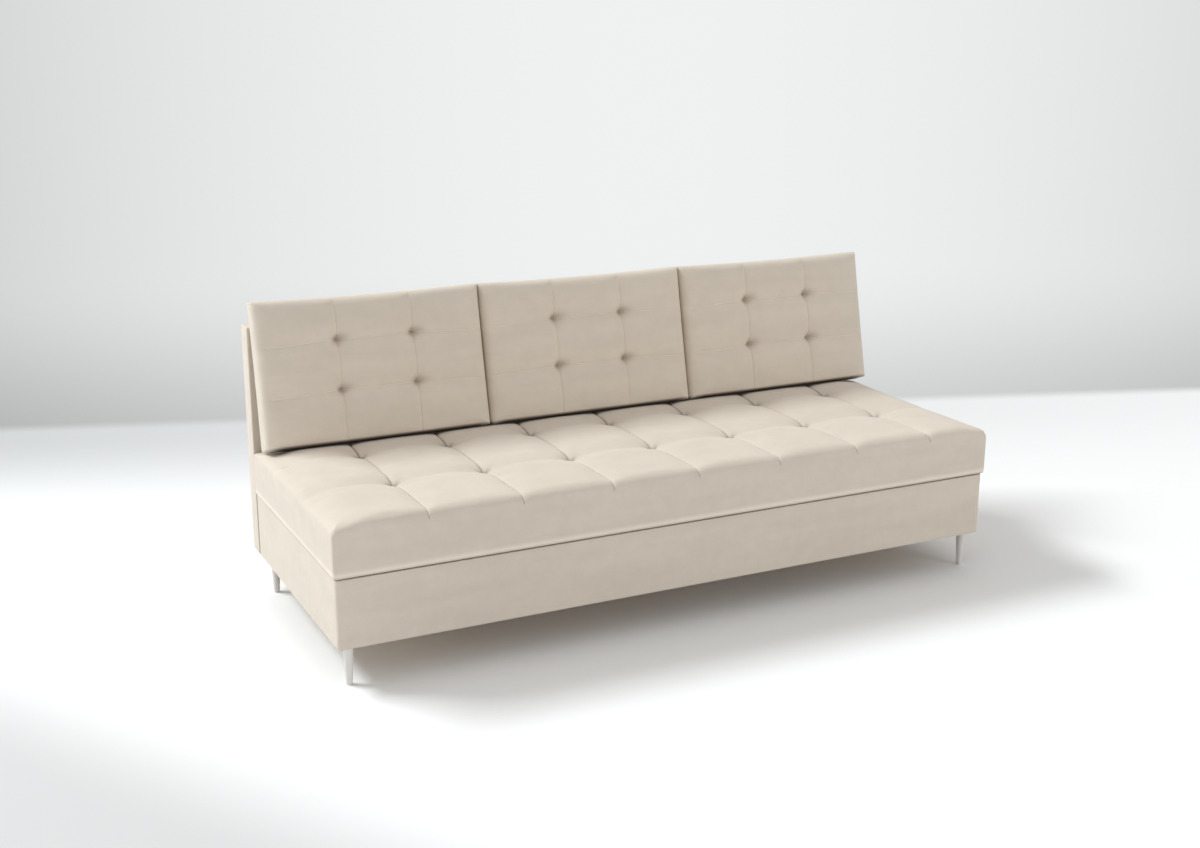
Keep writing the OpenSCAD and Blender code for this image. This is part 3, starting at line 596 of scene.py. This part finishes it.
def hold(obj, weights):
    """Says how firmly the stitches hold each vertex, from 0 to 1"""
    group = obj.vertex_groups.new(name="held")
    for index, weight in enumerate(weights):
        if weight > 0.01:
            group.add([index], weight, "REPLACE")


def add_stuffing(pad, pressure, steps):
    """Makes a closed pad a cloth that is blown up from inside"""
    cloth = pad.modifiers.new("stuffing", "CLOTH")
    cloth.settings.quality = 5
    cloth.settings.mass = 0.3
    cloth.settings.use_pressure = True
    cloth.settings.uniform_pressure_force = pressure
    cloth.settings.effector_weights.gravity = 0.0
    cloth.settings.vertex_group_mass = "held"
    cloth.settings.pin_stiffness = 1.0
    cloth.collision_settings.use_collision = False
    cloth.point_cache.frame_start = 1
    cloth.point_cache.frame_end = steps


def stuff(pads, pressure, steps):
    """Stuffs pads together, each by its own swell at most, and keeps the result in their meshes"""
    scene = bpy.context.scene
    rest = {pad: [v.co.copy() for v in pad.data.vertices] for pad in pads}
    for pad in pads:
        add_stuffing(pad, pressure, steps)
    for step in range(1, steps + 1):
        scene.frame_set(step)
    graph = bpy.context.evaluated_depsgraph_get()
    for pad, swell in pads.items():
        shaped = pad.evaluated_get(graph).data
        moved = []
        for was, v, free in zip(rest[pad], shaped.vertices, pad.data.attributes["free"].data):
            move = v.co - was
            share = move.length / swell
            moved.append(was + move * free.value * (math.tanh(share) / share if share > 0 else 1.0))
        pad.modifiers.clear()
        for v, co in zip(pad.data.vertices, moved):
            v.co = co
    scene.frame_set(1)


# ---------- covers ----------


def make_box_cover(c):
    """Velour round the box, turned in over the rim and under the boards"""
    rear_round, foot_round, rear_width = 0.005, 0.007, 0.018
    face, upright_face, support = 0.04, 0.03, 0.009
    low, high = Vector(BOX_LOW), Vector(BOX_HIGH) - Vector((0.0, 0.0, 0.0012))
    bm = block(low, high)
    front = low.y
    round_edges(bm, lambda m, d: abs(d.z) > 0.9 and m.y < front + 0.01, c.corner, 5)
    round_edges(bm, lambda m, d: abs(d.z) > 0.9 and m.y > high.y - 0.001, rear_round, 3)
    round_edges(bm, lambda m, d: abs(d.z) < 0.1 and m.z > high.z - 0.001 and m.y < high.y - 0.006, c.rim, 4)
    round_edges(bm, lambda m, d: abs(d.z) < 0.1 and m.z < low.z + 0.001 and m.y < high.y - 0.001,
                foot_round, 4)
    inner_low = (low.x + c.board_width, low.y + c.board_width, low.z + support)
    inner_high = (high.x - c.board_width, high.y - rear_width, high.z - support)
    for axis, step in enumerate((face, face, upright_face)):
        inside = inner_low[axis], inner_high[axis]
        cut_across(bm, axis, [*inside, *even_cuts(*inside, step)])
    gone = []
    for f in bm.faces:
        m = f.calc_center_median()
        flat = abs(f.normal.z) > 0.9 and (m.z > high.z - 0.001 or m.z < low.z + 0.001)
        inside = inner_low[0] < m.x < inner_high[0] and inner_low[1] < m.y < inner_high[1]
        if (flat and inside) or (f.normal.y > 0.9 and m.y > high.y - 0.001):
            gone.append(f)
    bmesh.ops.delete(bm, geom=gone, context="FACES")
    for v in bm.verts:
        if v.co.y < high.y - 0.02 and low.z + 0.02 < v.co.z < high.z - 0.015:
            v.co += v.normal * wave(v.co, 0.16, 3.0) * c.slack
    made = piece("box_cover", bm, "velour")
    # The rim's top is painted a little darker: painted shade in the parting line under the seat
    mark(made, "pressed", [0.08 * ease((v.co.z - high.z + 0.002) / 0.002) for v in made.data.vertices])
    wall = made.modifiers.new("fabric", "SOLIDIFY")
    wall.thickness, wall.offset = c.wall, -1.0
    settle(made)
    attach(made, "base")
    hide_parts("base_cover")


def make_panel_cover(c):
    """Velour round the back panel"""
    side, behind, support, face = 0.0015, 0.0015, 0.003, 0.05
    low = Vector(PANEL_LOW) + Vector((-side, behind, 0.0))
    high = Vector(PANEL_HIGH) + Vector((side, 0.0, 0.0))
    bm = block(low, high)
    round_edges(bm, lambda m, d: m.z > low.z + 0.001, c.panel_edge, 4)
    round_edges(bm, lambda m, d: m.z < low.z + 0.001 and abs(d.z) < 0.1, c.panel_edge, 4)
    near = c.panel_edge + support
    for axis in (0, 2):
        inside = low[axis] + near, high[axis] - near
        cut_across(bm, axis, [*inside, *even_cuts(*inside, face)])
    for v in bm.verts:
        if v.co.z > BOX_HIGH[2] + 0.02 and abs(v.co.x) < high.x - 0.02:
            v.co -= v.normal * abs(wave(v.co, 0.2, 8.0)) * c.slack
    made = piece("back_panel_cover", bm, "velour")
    # The panel's front below the seat's top is painted a little darker: painted shade behind the seat
    in_seat_shade = [v.co.y < low.y + 0.002 and v.co.z < SEAT_HIGH[2] for v in made.data.vertices]
    mark(made, "pressed", [0.12 if inside else 0.0 for inside in in_seat_shade])
    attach(made, "base")
    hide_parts("back_cover", "back_foam")


# ---------- seat ----------


# Cuts round the seat's columns, round its rows and up from its foot
COLUMN_CUTS = (0.002, 0.005, 0.009, 0.015, 0.024, 0.038, 0.058, 0.085)
ROW_CUTS = (0.003, 0.007, 0.012, 0.019, 0.029, 0.045, 0.067, 0.095)
SIDE_CUTS = (0.0095, 0.013, 0.022, 0.042, 0.066, 0.09, 0.108)

# The faint tuft at the seat's left end: how far its hollow lies in from a whole pitch, and the middle of its
# painted shade
FAINT_IN = 0.028
FAINT_MARK = (-0.982, 0.115)


def seat_pitch(t):
    return (SEAT_HIGH[0] - SEAT_LOW[0] - t.seat_left - t.seat_right) / (t.seat_columns - 1)


def seat_lines(t):
    """The seat's columns and rows of tufts"""
    columns = [SEAT_LOW[0] + t.seat_left + i * seat_pitch(t) for i in range(t.seat_columns)]
    front = SEAT_LOW[1] + t.seat_front
    return columns, [front, front + t.seat_rows]


def under_cushions(y):
    """The highest that the seat may reach below the leaning back cushions"""
    k = bpy.context.scene.sofa.cushions
    out = k.foot[1] - y
    under = k.foot[2] + out * math.tan(k.lean) + k.lift * ease((out - 0.014) / 0.045)
    return under - 0.0014 + 0.02 * ease((out - k.bottom + 0.022) / 0.02)


def seat_drop(x, y, t):
    """How far the tufted top of the seat lies below its pillows' height"""
    columns, rows = seat_lines(t)
    pitch = seat_pitch(t)
    dx, dy = to_nearest(x, columns), to_nearest(y, rows)
    end = SEAT_HIGH[0] - abs(x)
    soft = 0.016 * ease(dx / 0.07)
    valley = fade(math.hypot(dy, soft) - soft, 0.030) * (0.35 + 0.65 * ease(end / 0.16))
    valley *= 1.0 - (0.5 if y > rows[1] - 0.1 else 0.0) * ease(dx / 0.05)
    drop = t.seat_seam * fade(dx, 0.011) + t.seat_valley * valley
    drop += t.seat_depth * fade(math.hypot(dx, dy), 0.030)
    drop += 0.4 * t.seat_depth * fade(math.hypot(x - (columns[0] - pitch + FAINT_IN), dy), 0.018)
    bulge = math.sin(math.pi * min(1.0, dx / (pitch / 2)) / 2) * ease(end / 0.1)
    drop += 0.002 * (1.0 - bulge)
    return drop + 0.012 * (1.0 - ease(end / 0.11))


def seat_shade(x, y, z, t, c):
    """How dark the pile is painted, as shade with some crushed pile: a little at the foot by the parting
    line, where the cushions stand, round the tufts and along the lines behind them
    """
    # Painted shade on the seat's underside by the parting line
    if z < SEAT_LOW[2] + 0.003:
        return 0.08
    if z < c.seat_top - 0.001:
        return 0.0
    if y > UNDER_PADS:
        # Painted shade where the cushions stand on the seat
        strip = ease((y - 0.215) / 0.010) * (1.0 - ease((y - 0.238) / 0.012))
        return 0.9 * strip * ease((SEAT_HIGH[0] - abs(x) - 0.014) / 0.03)
    columns, rows = seat_lines(t)
    dx, dy = to_nearest(x, columns), to_nearest(y, rows)
    past = y - nearest(y, rows)
    # Painted shade in a curve round each tuft and along its sewn line behind; in the tuft itself also crushed
    # pile
    smile = bell(dx, 0.017) * bell(past - 36.0 * dx * dx, 0.007)
    seam = bell(dx, 0.003) * ease(past / 0.004) * (1.0 - ease((past - 0.03) / 0.05))
    behind = y - FAINT_MARK[1]
    faint = bell(math.hypot(x - FAINT_MARK[0], 0.3 * behind if behind > 0.0 else behind), 0.004)
    return min(0.6, 0.48 * smile + 0.3 * seam + 0.11 * fade(math.hypot(dx, dy), 0.02) + 0.2 * faint)


def make_seat(c, t):
    """The seat's cover before it is stuffed"""
    low, high = Vector(SEAT_LOW), Vector(SEAT_HIGH)
    top, turn = c.seat_top, 0.014
    columns, rows = seat_lines(t)
    bm = block(low, (high.x, high.y, top))
    round_edges(bm, lambda m, d: abs(d.z) > 0.9, c.seat_corner, 3)
    round_edges(bm, lambda m, d: m.z < low.z + 0.001, c.seat_foot, 2)
    cut_across(bm, 0, rolled_cuts(low.x, high.x, c.seat_roll, columns, COLUMN_CUTS, 0.03))
    cut_across(bm, 1, rolled_cuts(low.y, high.y, c.seat_roll, rows, ROW_CUTS, 0.022))
    cut_across(bm, 2, [low.z + h for h in SIDE_CUTS])
    made = piece("seat_cushion", bm, "seat_velour")
    weights = []
    marks = {"free": [], "pressed": [], "worn": [], "sewn_across": [], "sewn_along": []}
    for v in made.data.vertices:
        x, y, z = v.co
        dx, dy = to_nearest(x, columns), to_nearest(y, rows)
        near = math.hypot(dx, dy)
        marks["pressed"].append(seat_shade(x, y, z, t, c))
        ex, ey = high.x - abs(x), min(y - low.y, high.y - y)
        edge = min(ex, ey)
        if max(ex, ey) < turn:
            edge = turn - math.hypot(turn - ex, turn - ey)
        on_top = z > top - 0.001
        if on_top:
            v.co.z = min(z - (roll(edge, c.seat_roll) + seat_drop(x, y, t)), under_cushions(y))
        else:
            share = ease((z - low.z - 0.03) / (top - low.z - 0.03))
            v.co.z = z - share * (c.seat_roll + 0.5 * seat_drop(x, y, t))
        if on_top and edge > 0.004:
            held = max(bell(near, 0.006), 0.85 * bell(dx, 0.006), 0.35 * bell(dy, 0.012),
                       0.9 if y > UNDER_PADS else 0.0)
        elif z < low.z + 0.01:
            held = 1.0
            v.co.z += 0.0007 * ease((edge - 0.036) / 0.008) + 0.0014 * (1.0 - ease((edge - 0.006) / 0.010))
        else:
            held = 0.80
        weights.append(held)
        marks["free"].append((1 - 0.95 * fade(near, 0.03)) * (1 - 0.8 * fade(dx, 0.012)))
        # A painted highlight in a band just above the seat's foot
        marks["worn"].append(bell(v.co.z - low.z - 0.0115, 0.003))
        shown = on_top or y <= low.y + 0.005
        marks["sewn_across"].append(ease((v.co.z - 0.414) / 0.006) if shown else 0.0)
        marks["sewn_along"].append(0.0)
    hold(made, weights)
    for name, values in marks.items():
        mark(made, name, values)
    lay_out(made, lambda co: (co.x - columns[0]) / seat_pitch(t), lambda co: (co.y - rows[0]) / t.seat_rows)
    return made


def finish_seat(made, c, t):
    """Keeps the stuffed seat inside its room and gives it its fine creases"""
    low, high, stand_out = Vector(SEAT_LOW), Vector(SEAT_HIGH), 0.004
    subdivide(made)
    columns, rows = seat_lines(t)
    for v in made.data.vertices:
        x, y, z = v.co
        if z > c.seat_top - 0.05:
            dx, dy = to_nearest(x, columns), to_nearest(y, rows)
            z -= 0.0020 * bell(dx, 0.0026) * ease((z - 0.412) / 0.01)
            z += 0.0005 * wave(v.co, 0.05, 5.0) * ease(math.hypot(dx, dy) / 0.04)
            z = min(z, c.seat_top + 0.0015, under_cushions(y))
            if math.hypot(dx, dy) < 0.02:
                z = max(z, SEAT_TIE_TOP)
        x = max(low.x - stand_out, min(high.x + stand_out, x))
        v.co = (x, max(low.y - stand_out, min(high.y, y)), max(low.z, z))
    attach(made, "seat")
    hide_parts("seat_cover", "seat_foam")


# ---------- back cushions ----------


# Cuts round a cushion's columns and rows, and the widest gap between cuts
PAD_CUTS = (0.0015, 0.0035, 0.0065, 0.011, 0.018, 0.028)
PAD_FACE = 0.012

# How far the cushions slide up their backs when the seat is lifted
PAD_RISE = 0.15


def pad_place(k, index):
    """Where a cushion's own axes lie: X along it, -Y out of its front, Z up its back"""
    at = Vector(k.foot) + Vector((k.step * index, 0, 0))
    return Matrix.Translation(at) @ Matrix.Rotation(-k.lean, 4, "X")


def pad_lines(t):
    """A cushion's columns and rows of tufts"""
    half = t.pad_columns / 2
    return [t.pad_shift - half, t.pad_shift + half], [t.pad_low, t.pad_low + t.pad_rows]


def pad_thickness(k, z):
    return k.bottom + (k.top - k.bottom) * z / k.height


def up_from_bow(x, z, t):
    """Height on a cushion, measured from rows that sink towards the ends"""
    return z + t.pad_bow * ease((abs(x - t.pad_shift) - t.pad_columns / 2) / 0.2)


def pad_shade(x, y, z, end, front, t):
    """How dark the pile is painted: painted shade under the lower edge where the cushion stands, in the fold
    up right of each tuft, and in each tuft painted shade with crushed pile
    """
    # Painted shade along the contact under the lower edge
    below = 0.9 * (1.0 - ease((z - 0.004) / 0.007)) * ease((-y - 0.035) / 0.012)
    below *= 0.3 + 0.7 * ease(end / 0.05)
    if not front:
        return below
    columns, rows = pad_lines(t)
    right, above = x - nearest(x, columns), up_from_bow(x, z, t)
    above -= nearest(above, rows)
    # Painted shade in the fold up right of each tuft
    fold = bell(right - 0.014, 0.020) * bell(above - 0.007, 0.011)
    return max(below, 0.17 * bell(math.hypot(right, above), 0.007) + 0.22 * fold)


def make_cushion(name, k, t, seed):
    """A back cushion in its own axes before it is stuffed"""
    w, h, deep = k.width - 0.001, k.height, 0.08
    columns, rows = pad_lines(t)
    bm = block((-w / 2, -deep, 0.0), (w / 2, 0.0, h))
    round_edges(bm, lambda m, d: abs(d.y) > 0.9 and m.z > 0.1, 0.004, 2)
    round_edges(bm, lambda m, d: abs(d.y) > 0.9 and m.z < 0.1, 0.011, 3)
    round_edges(bm, lambda m, d: m.y > -0.001, 0.005, 3)
    cut_across(bm, 0, rolled_cuts(-w / 2, w / 2, k.edge, columns, PAD_CUTS, PAD_FACE))
    cut_across(bm, 2, rolled_cuts(0.0, h, k.edge, rows, PAD_CUTS, PAD_FACE))
    cut_across(bm, 1, [-0.05, -0.03])
    made = piece(name, bm, "cushion_velour")
    weights = []
    marks = {"free": [], "pressed": [], "sewn_across": [], "sewn_along": []}
    for v in made.data.vertices:
        x, y, z = v.co
        front = y < 0.001 - deep
        a, b = min(1.0, abs(x) / (w / 2)), min(1.0, abs(2 * z / h - 1))
        ex, ez = w / 2 - abs(x), min(1.7 * z, h - z)
        thick = pad_thickness(k, z)
        dx, dz = to_nearest(x, columns), to_nearest(up_from_bow(x, z, t), rows)
        near = math.hypot(dx, dz)
        if front:
            inside = ease(ex / 0.03) * ease(ez / 0.02)
            out = (k.crown + 0.0015 * wave((x, z, 0), 0.12, seed)) * (1 - a ** 4) * (1 - b ** 4)
            out -= t.pad_seam * (fade(dx, 0.014) + 0.8 * fade(dz, 0.012)) * inside
            out -= t.pad_depth * (0.45 * fade(near, 0.030) + 0.55 * bell(near, 0.012))
            v.co.y = roll(min(ex, ez), k.edge) - thick - out
        else:
            v.co.y = y * (thick - k.edge) / deep
        if y > -0.012:
            hump = 0.006 * (1 - a ** 2) * ease((0.27 - z) / 0.12) * ease(z / 0.08)
            v.co.y += hump * ease((y + 0.012) / 0.010)
        v.co.x = x - math.copysign(0.25 * k.waist * (1 - b ** 2), x) * a ** 3
        v.co.z = z - k.waist * (1 - a ** 2) * ease((z - h + 0.06) / 0.06)
        v.co.z += k.lift * ease((-v.co.y - 0.012) / 0.045) * (1 - ease(z / 0.07))
        held = 0.75
        if front and min(ex, ez) > 0.008:
            held = max(bell(near, 0.006), 0.80 * bell(min(dx, dz), 0.005))
        weights.append(held)
        firm = 0.25 if not front and ex < 0.002 else 1.0
        marks["free"].append(firm * (1 - 0.97 * bell(near, 0.03)) * (1 - 0.8 * fade(min(dx, dz), 0.010)))
        marks["pressed"].append(pad_shade(x, y, z, ex, front, t))
        shown = ease((ex - 0.008) / 0.012) * ease((ez - 0.004) / 0.008) if front else 0.0
        marks["sewn_across"].append(shown)
        marks["sewn_along"].append(shown)
    hold(made, weights)
    for mark_name, values in marks.items():
        mark(made, mark_name, values)
    lay_out(made, lambda co: (co.x - columns[0]) / t.pad_columns,
            lambda co: (up_from_bow(co.x, co.z, t) - rows[0]) / t.pad_rows)
    return made


def back_limit(k, z):
    """How far back a cushion may reach at a height on it, in front of the panel at rest and as it rises"""
    panel = PANEL_LOW[1] - k.foot[1] - 0.0012
    top = (PANEL_HIGH[2] - k.foot[2] + 0.004) / math.cos(k.lean)
    room = (panel - min(z + PAD_RISE, top) * math.sin(k.lean)) / math.cos(k.lean)
    return 0.004 if z > top else max(0.0, min(0.012, room))


def finish_cushion(made, k, t, index):
    """Flattens a stuffed cushion where it rests, then puts it in its place"""
    subdivide(made)
    columns, rows = pad_lines(t)
    half, rim = k.width / 2, 0.012
    for v in made.data.vertices:
        x, y, z = v.co
        if y < -0.04 and abs(x) < half - rim and rim < z < k.height - rim:
            line = min(to_nearest(x, columns), to_nearest(up_from_bow(x, z, t), rows))
            y += 0.0010 * bell(line, 0.0025)
            y += 0.0004 * wave(v.co, 0.045, 11.0 + index)
        v.co = (max(-half, min(half, x)), min(back_limit(k, z), y), max(0.0008, min(k.height + 0.003, z)))
    made.data.transform(pad_place(k, index))
    body = ("left", "middle", "right")[index + 1] + "_cushion"
    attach(made, body)
    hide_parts(body + "_cover", body + "_core")
    make_ties(body, k, t, index)


def make_ties(body, k, t, index):
    """The twine that holds a cushion's tufts to its back, as long as the tufts are deep"""
    radius, start, short = 0.0015, 0.004, 0.006
    bm = bmesh.new()
    for x in pad_lines(t)[0]:
        for z in pad_lines(t)[1]:
            length = pad_thickness(k, z) + k.crown - 1.8 * t.pad_seam - t.pad_depth - short
            at = Matrix.Translation((x, -start - length / 2, z)) @ Matrix.Rotation(math.pi / 2, 4, "X")
            rod = bmesh.ops.create_cone(bm, cap_ends=True, segments=12, radius1=radius, radius2=radius,
                                        depth=length, matrix=at)
            edges = {e for v in rod["verts"] for e in v.link_edges}
            bevel(bm, [e for e in edges if abs(e.verts[0].co.y - e.verts[1].co.y) < 1e-5], 0.0005, 2)
    bm.transform(pad_place(k, index))
    made = piece(body + "_tuft_twine", bm, "twine")
    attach(made, body)
    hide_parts(body + "_ties")


# ---------- stage ----------


CAMERA_PLACE = (-1.9924, -3.8347, 1.6864)
CAMERA_YAW, CAMERA_PITCH, CAMERA_ROLL = (math.radians(angle) for angle in (-26.54, 15.75, 0.24))

# Each lamp: its size, its place, the place that it is aimed at, and its colour
LAMPS = {
    "key": ((8.0, 3.0), (-9.5, 8.5, 13.0), (0.0, 0.0, 0.4), (0.94, 0.98, 1.0)),
    "right": ((4.0, 3.0), (5.0, -8.0, 2.2), (0.0, 0.0, 0.5), (1.0, 1.0, 1.0)),
    "left": ((3.0, 2.0), (-7.5, 0.5, 2.0), (-1.0, 0.0, 0.3), (1.0, 1.0, 1.0)),
}

# Level directions: square to the line where the floor turns into the background, and to the edge of the
# corner painted in shade
WALL_FACING = (0.3155, 0.949)
CORNER_FACING = (0.869, 0.495)
# How far that line lies behind the sofa's middle, and how far the camera lies before the line
WALL_AT, WALL_AHEAD = 1.87, 6.14
# Farthest to either side, in shares of the distance ahead, at which the background's tones still change
WIDEST = 0.45
BLACK = (0.0, 0.0, 0.0)


def add_camera(st):
    """The camera, from its own place and turns"""
    yaw, pitch, tilt = CAMERA_YAW, CAMERA_PITCH, CAMERA_ROLL
    ahead = Vector((-math.sin(yaw) * math.cos(pitch), math.cos(yaw) * math.cos(pitch), -math.sin(pitch)))
    side = Vector((math.cos(yaw), math.sin(yaw), 0))
    up = side.cross(ahead)
    x = math.cos(tilt) * side + math.sin(tilt) * up
    y = -math.sin(tilt) * side + math.cos(tilt) * up
    data = bpy.data.cameras.new("camera")
    data.lens, data.sensor_width = st.lens, 36.0
    cam = bpy.data.objects.new("camera", data)
    bpy.context.collection.objects.link(cam)
    cam.matrix_world = Matrix.Translation(CAMERA_PLACE) @ Matrix((x, y, -ahead)).transposed().to_4x4()
    bpy.context.scene.camera = cam


def add_lamp(name, power, size, eye, target, colour):
    data = bpy.data.lights.new(name, "AREA")
    data.energy, data.shape, data.color = power, "RECTANGLE", colour
    data.size, data.size_y = size
    lamp = bpy.data.objects.new(name, data)
    bpy.context.collection.objects.link(lamp)
    lamp.location = eye
    lamp.rotation_mode = "QUATERNION"
    lamp.rotation_quaternion = (Vector(target) - Vector(eye)).to_track_quat("-Z", "Y")


def add_floor(st):
    """A pale floor, painted darker in a shaded corner at the front left and towards the line where it turns
    into the background behind the sofa; past that line it glows as a painted backdrop, darker low down and to
    the sides as painted shade
    """
    bm = bmesh.new()
    bmesh.ops.create_grid(bm, x_segments=12, y_segments=12, size=600)
    floor = piece("floor", bm, None, smooth=False)
    s = Shader("floor")
    x, y, _ = s.numbers(s.place())
    back = x * WALL_FACING[0] + y * WALL_FACING[1]
    corner = (x * CORNER_FACING[0] + y * CORNER_FACING[1]).between(-1.78, -1.28)
    east, north = x - CAMERA_PLACE[0], y - CAMERA_PLACE[1]
    sine, cosine = -math.sin(CAMERA_YAW), math.cos(CAMERA_YAW)
    wide = (east * cosine - north * sine) / (east * sine + north * cosine)
    wide = wide.most(-WIDEST).least(WIDEST)
    # The floor as the camera sees it: painted shade towards the background's line, more at the left, and in
    # the front left corner
    floor_painted_shade = (1.0 - back.between(0.45, 1.75) * (0.25 - wide * 0.455)) * (corner * 0.30 + 0.70)
    bright = s.tint(floor_painted_shade, BLACK, (0.98, 0.99, 0.99))
    seen = s.ray("Is Camera Ray").most(s.ray("Is Glossy Ray"))
    ground = s.add("ShaderNodeBsdfDiffuse", sockets={"Color": s.tint(seen, st.floor, bright)})
    past = back - WALL_AT
    height = past / (past + WALL_AHEAD)
    # Past the line the floor glows as a painted backdrop, with painted shade low down and to the sides
    ends = 1.0 + wide * 0.08 - wide * wide * 1.25
    backdrop_painted_shade = (height.between(-0.12, 0.36) * (0.30 - wide * 0.08) + (0.70 + wide * 0.08)) * ends
    far = s.add("ShaderNodeEmission", sockets={"Color": s.tint(backdrop_painted_shade, BLACK, st.wall)})
    floor.data.materials.append(s.finish(s.mixed(back.between(1.80, 1.95) * seen, ground, far)))


def add_sky(st):
    """Even light from all round, and the background's colour where nothing else is seen"""
    s = Shader("studio", "worlds")
    light = s.add("ShaderNodeBackground", sockets={"Color": (1.0, 0.99, 0.98, 1), "Strength": st.fill})
    seen = s.add("ShaderNodeBackground", sockets={"Color": (*st.wall, 1), "Strength": 1.0})
    bpy.context.scene.world = s.finish(s.mixed(s.ray("Is Camera Ray"), light, seen), "ShaderNodeOutputWorld")


# ---------- operators ----------


class SOFA_OT_stage(bpy.types.Operator):
    """Adds the camera, the lamps and the floor"""

    bl_idname = "sofa.stage"
    bl_label = "Stage"

    def execute(self, context):
        st = context.scene.sofa.stage
        add_camera(st)
        for name, lamp in LAMPS.items():
            add_lamp(name + " lamp", getattr(st, name), *lamp)
        add_floor(st)
        add_sky(st)
        context.scene.view_settings.view_transform = "Standard"
        return {"FINISHED"}


class SOFA_OT_box_cover(bpy.types.Operator):
    """Makes the cover of the box"""

    bl_idname = "sofa.box_cover"
    bl_label = "Box cover"

    def execute(self, context):
        make_box_cover(context.scene.sofa.covers)
        return {"FINISHED"}


class SOFA_OT_panel_cover(bpy.types.Operator):
    """Makes the cover of the back panel"""

    bl_idname = "sofa.panel_cover"
    bl_label = "Back panel cover"

    def execute(self, context):
        make_panel_cover(context.scene.sofa.covers)
        return {"FINISHED"}


class SOFA_OT_soft_pieces(bpy.types.Operator):
    """Makes the seat and the three back cushions, stuffed together"""

    bl_idname = "sofa.soft_pieces"
    bl_label = "Seat and back cushions"

    def execute(self, context):
        sofa = context.scene.sofa
        k, t = sofa.cushions, sofa.tufting
        seat = make_seat(sofa.covers, t)
        names = ("left_back_cushion", "middle_back_cushion", "right_back_cushion")
        pads = [make_cushion(n, k, t, 2.0 + 5.0 * i) for i, n in enumerate(names)]
        stuff({seat: k.seat_swell, **{pad: k.swell for pad in pads}}, k.pressure, k.steps)
        finish_seat(seat, sofa.covers, t)
        for i, pad in enumerate(pads):
            finish_cushion(pad, k, t, i - 1)
        return {"FINISHED"}


class SOFA_OT_finishes(bpy.types.Operator):
    """Gives every piece of the frame its finish"""

    bl_idname = "sofa.finishes"
    bl_label = "Finishes of the frame"

    def execute(self, context):
        slots = {s["node"]: s["material_slot"] for s in frame["record"]["subparts"]}
        for name, node in frame["nodes"].items():
            material = finish_named(slots[name])
            node.data.materials.clear()
            node.data.materials.append(material)
        return {"FINISHED"}


class SOFA_PT_panel(bpy.types.Panel):
    """Lists the sofa's pieces and settings"""

    bl_idname = "SOFA_PT_panel"
    bl_label = "Sofa"
    bl_space_type = "VIEW_3D"
    bl_region_type = "UI"
    bl_category = "Sofa"

    def draw(self, context):
        for step in STEPS:
            self.layout.operator(step.bl_idname)
        sofa = context.scene.sofa
        for group in (sofa.covers, sofa.tufting, sofa.cushions, sofa.finishes, sofa.stage):
            column = self.layout.column(align=True)
            for name in group.__annotations__:
                column.prop(group, name)


GROUPS = (SofaCovers, SofaTufting, SofaCushions, SofaFinishes, SofaStage, SofaSettings)
STEPS = (SOFA_OT_stage, SOFA_OT_box_cover, SOFA_OT_panel_cover, SOFA_OT_soft_pieces, SOFA_OT_finishes)
CLASSES = (*GROUPS, *STEPS, SOFA_PT_panel)


def register():
    for c in CLASSES:
        bpy.utils.register_class(c)
    bpy.types.Scene.sofa = PointerProperty(type=SofaSettings)


def unregister():
    del bpy.types.Scene.sofa
    for c in reversed(CLASSES):
        bpy.utils.unregister_class(c)


def main():
    register()
    bpy.ops.sofa.stage()
    bpy.ops.sofa.box_cover()
    bpy.ops.sofa.panel_cover()
    bpy.ops.sofa.soft_pieces()
    bpy.ops.sofa.finishes()


if __name__ == "__main__":
    main()
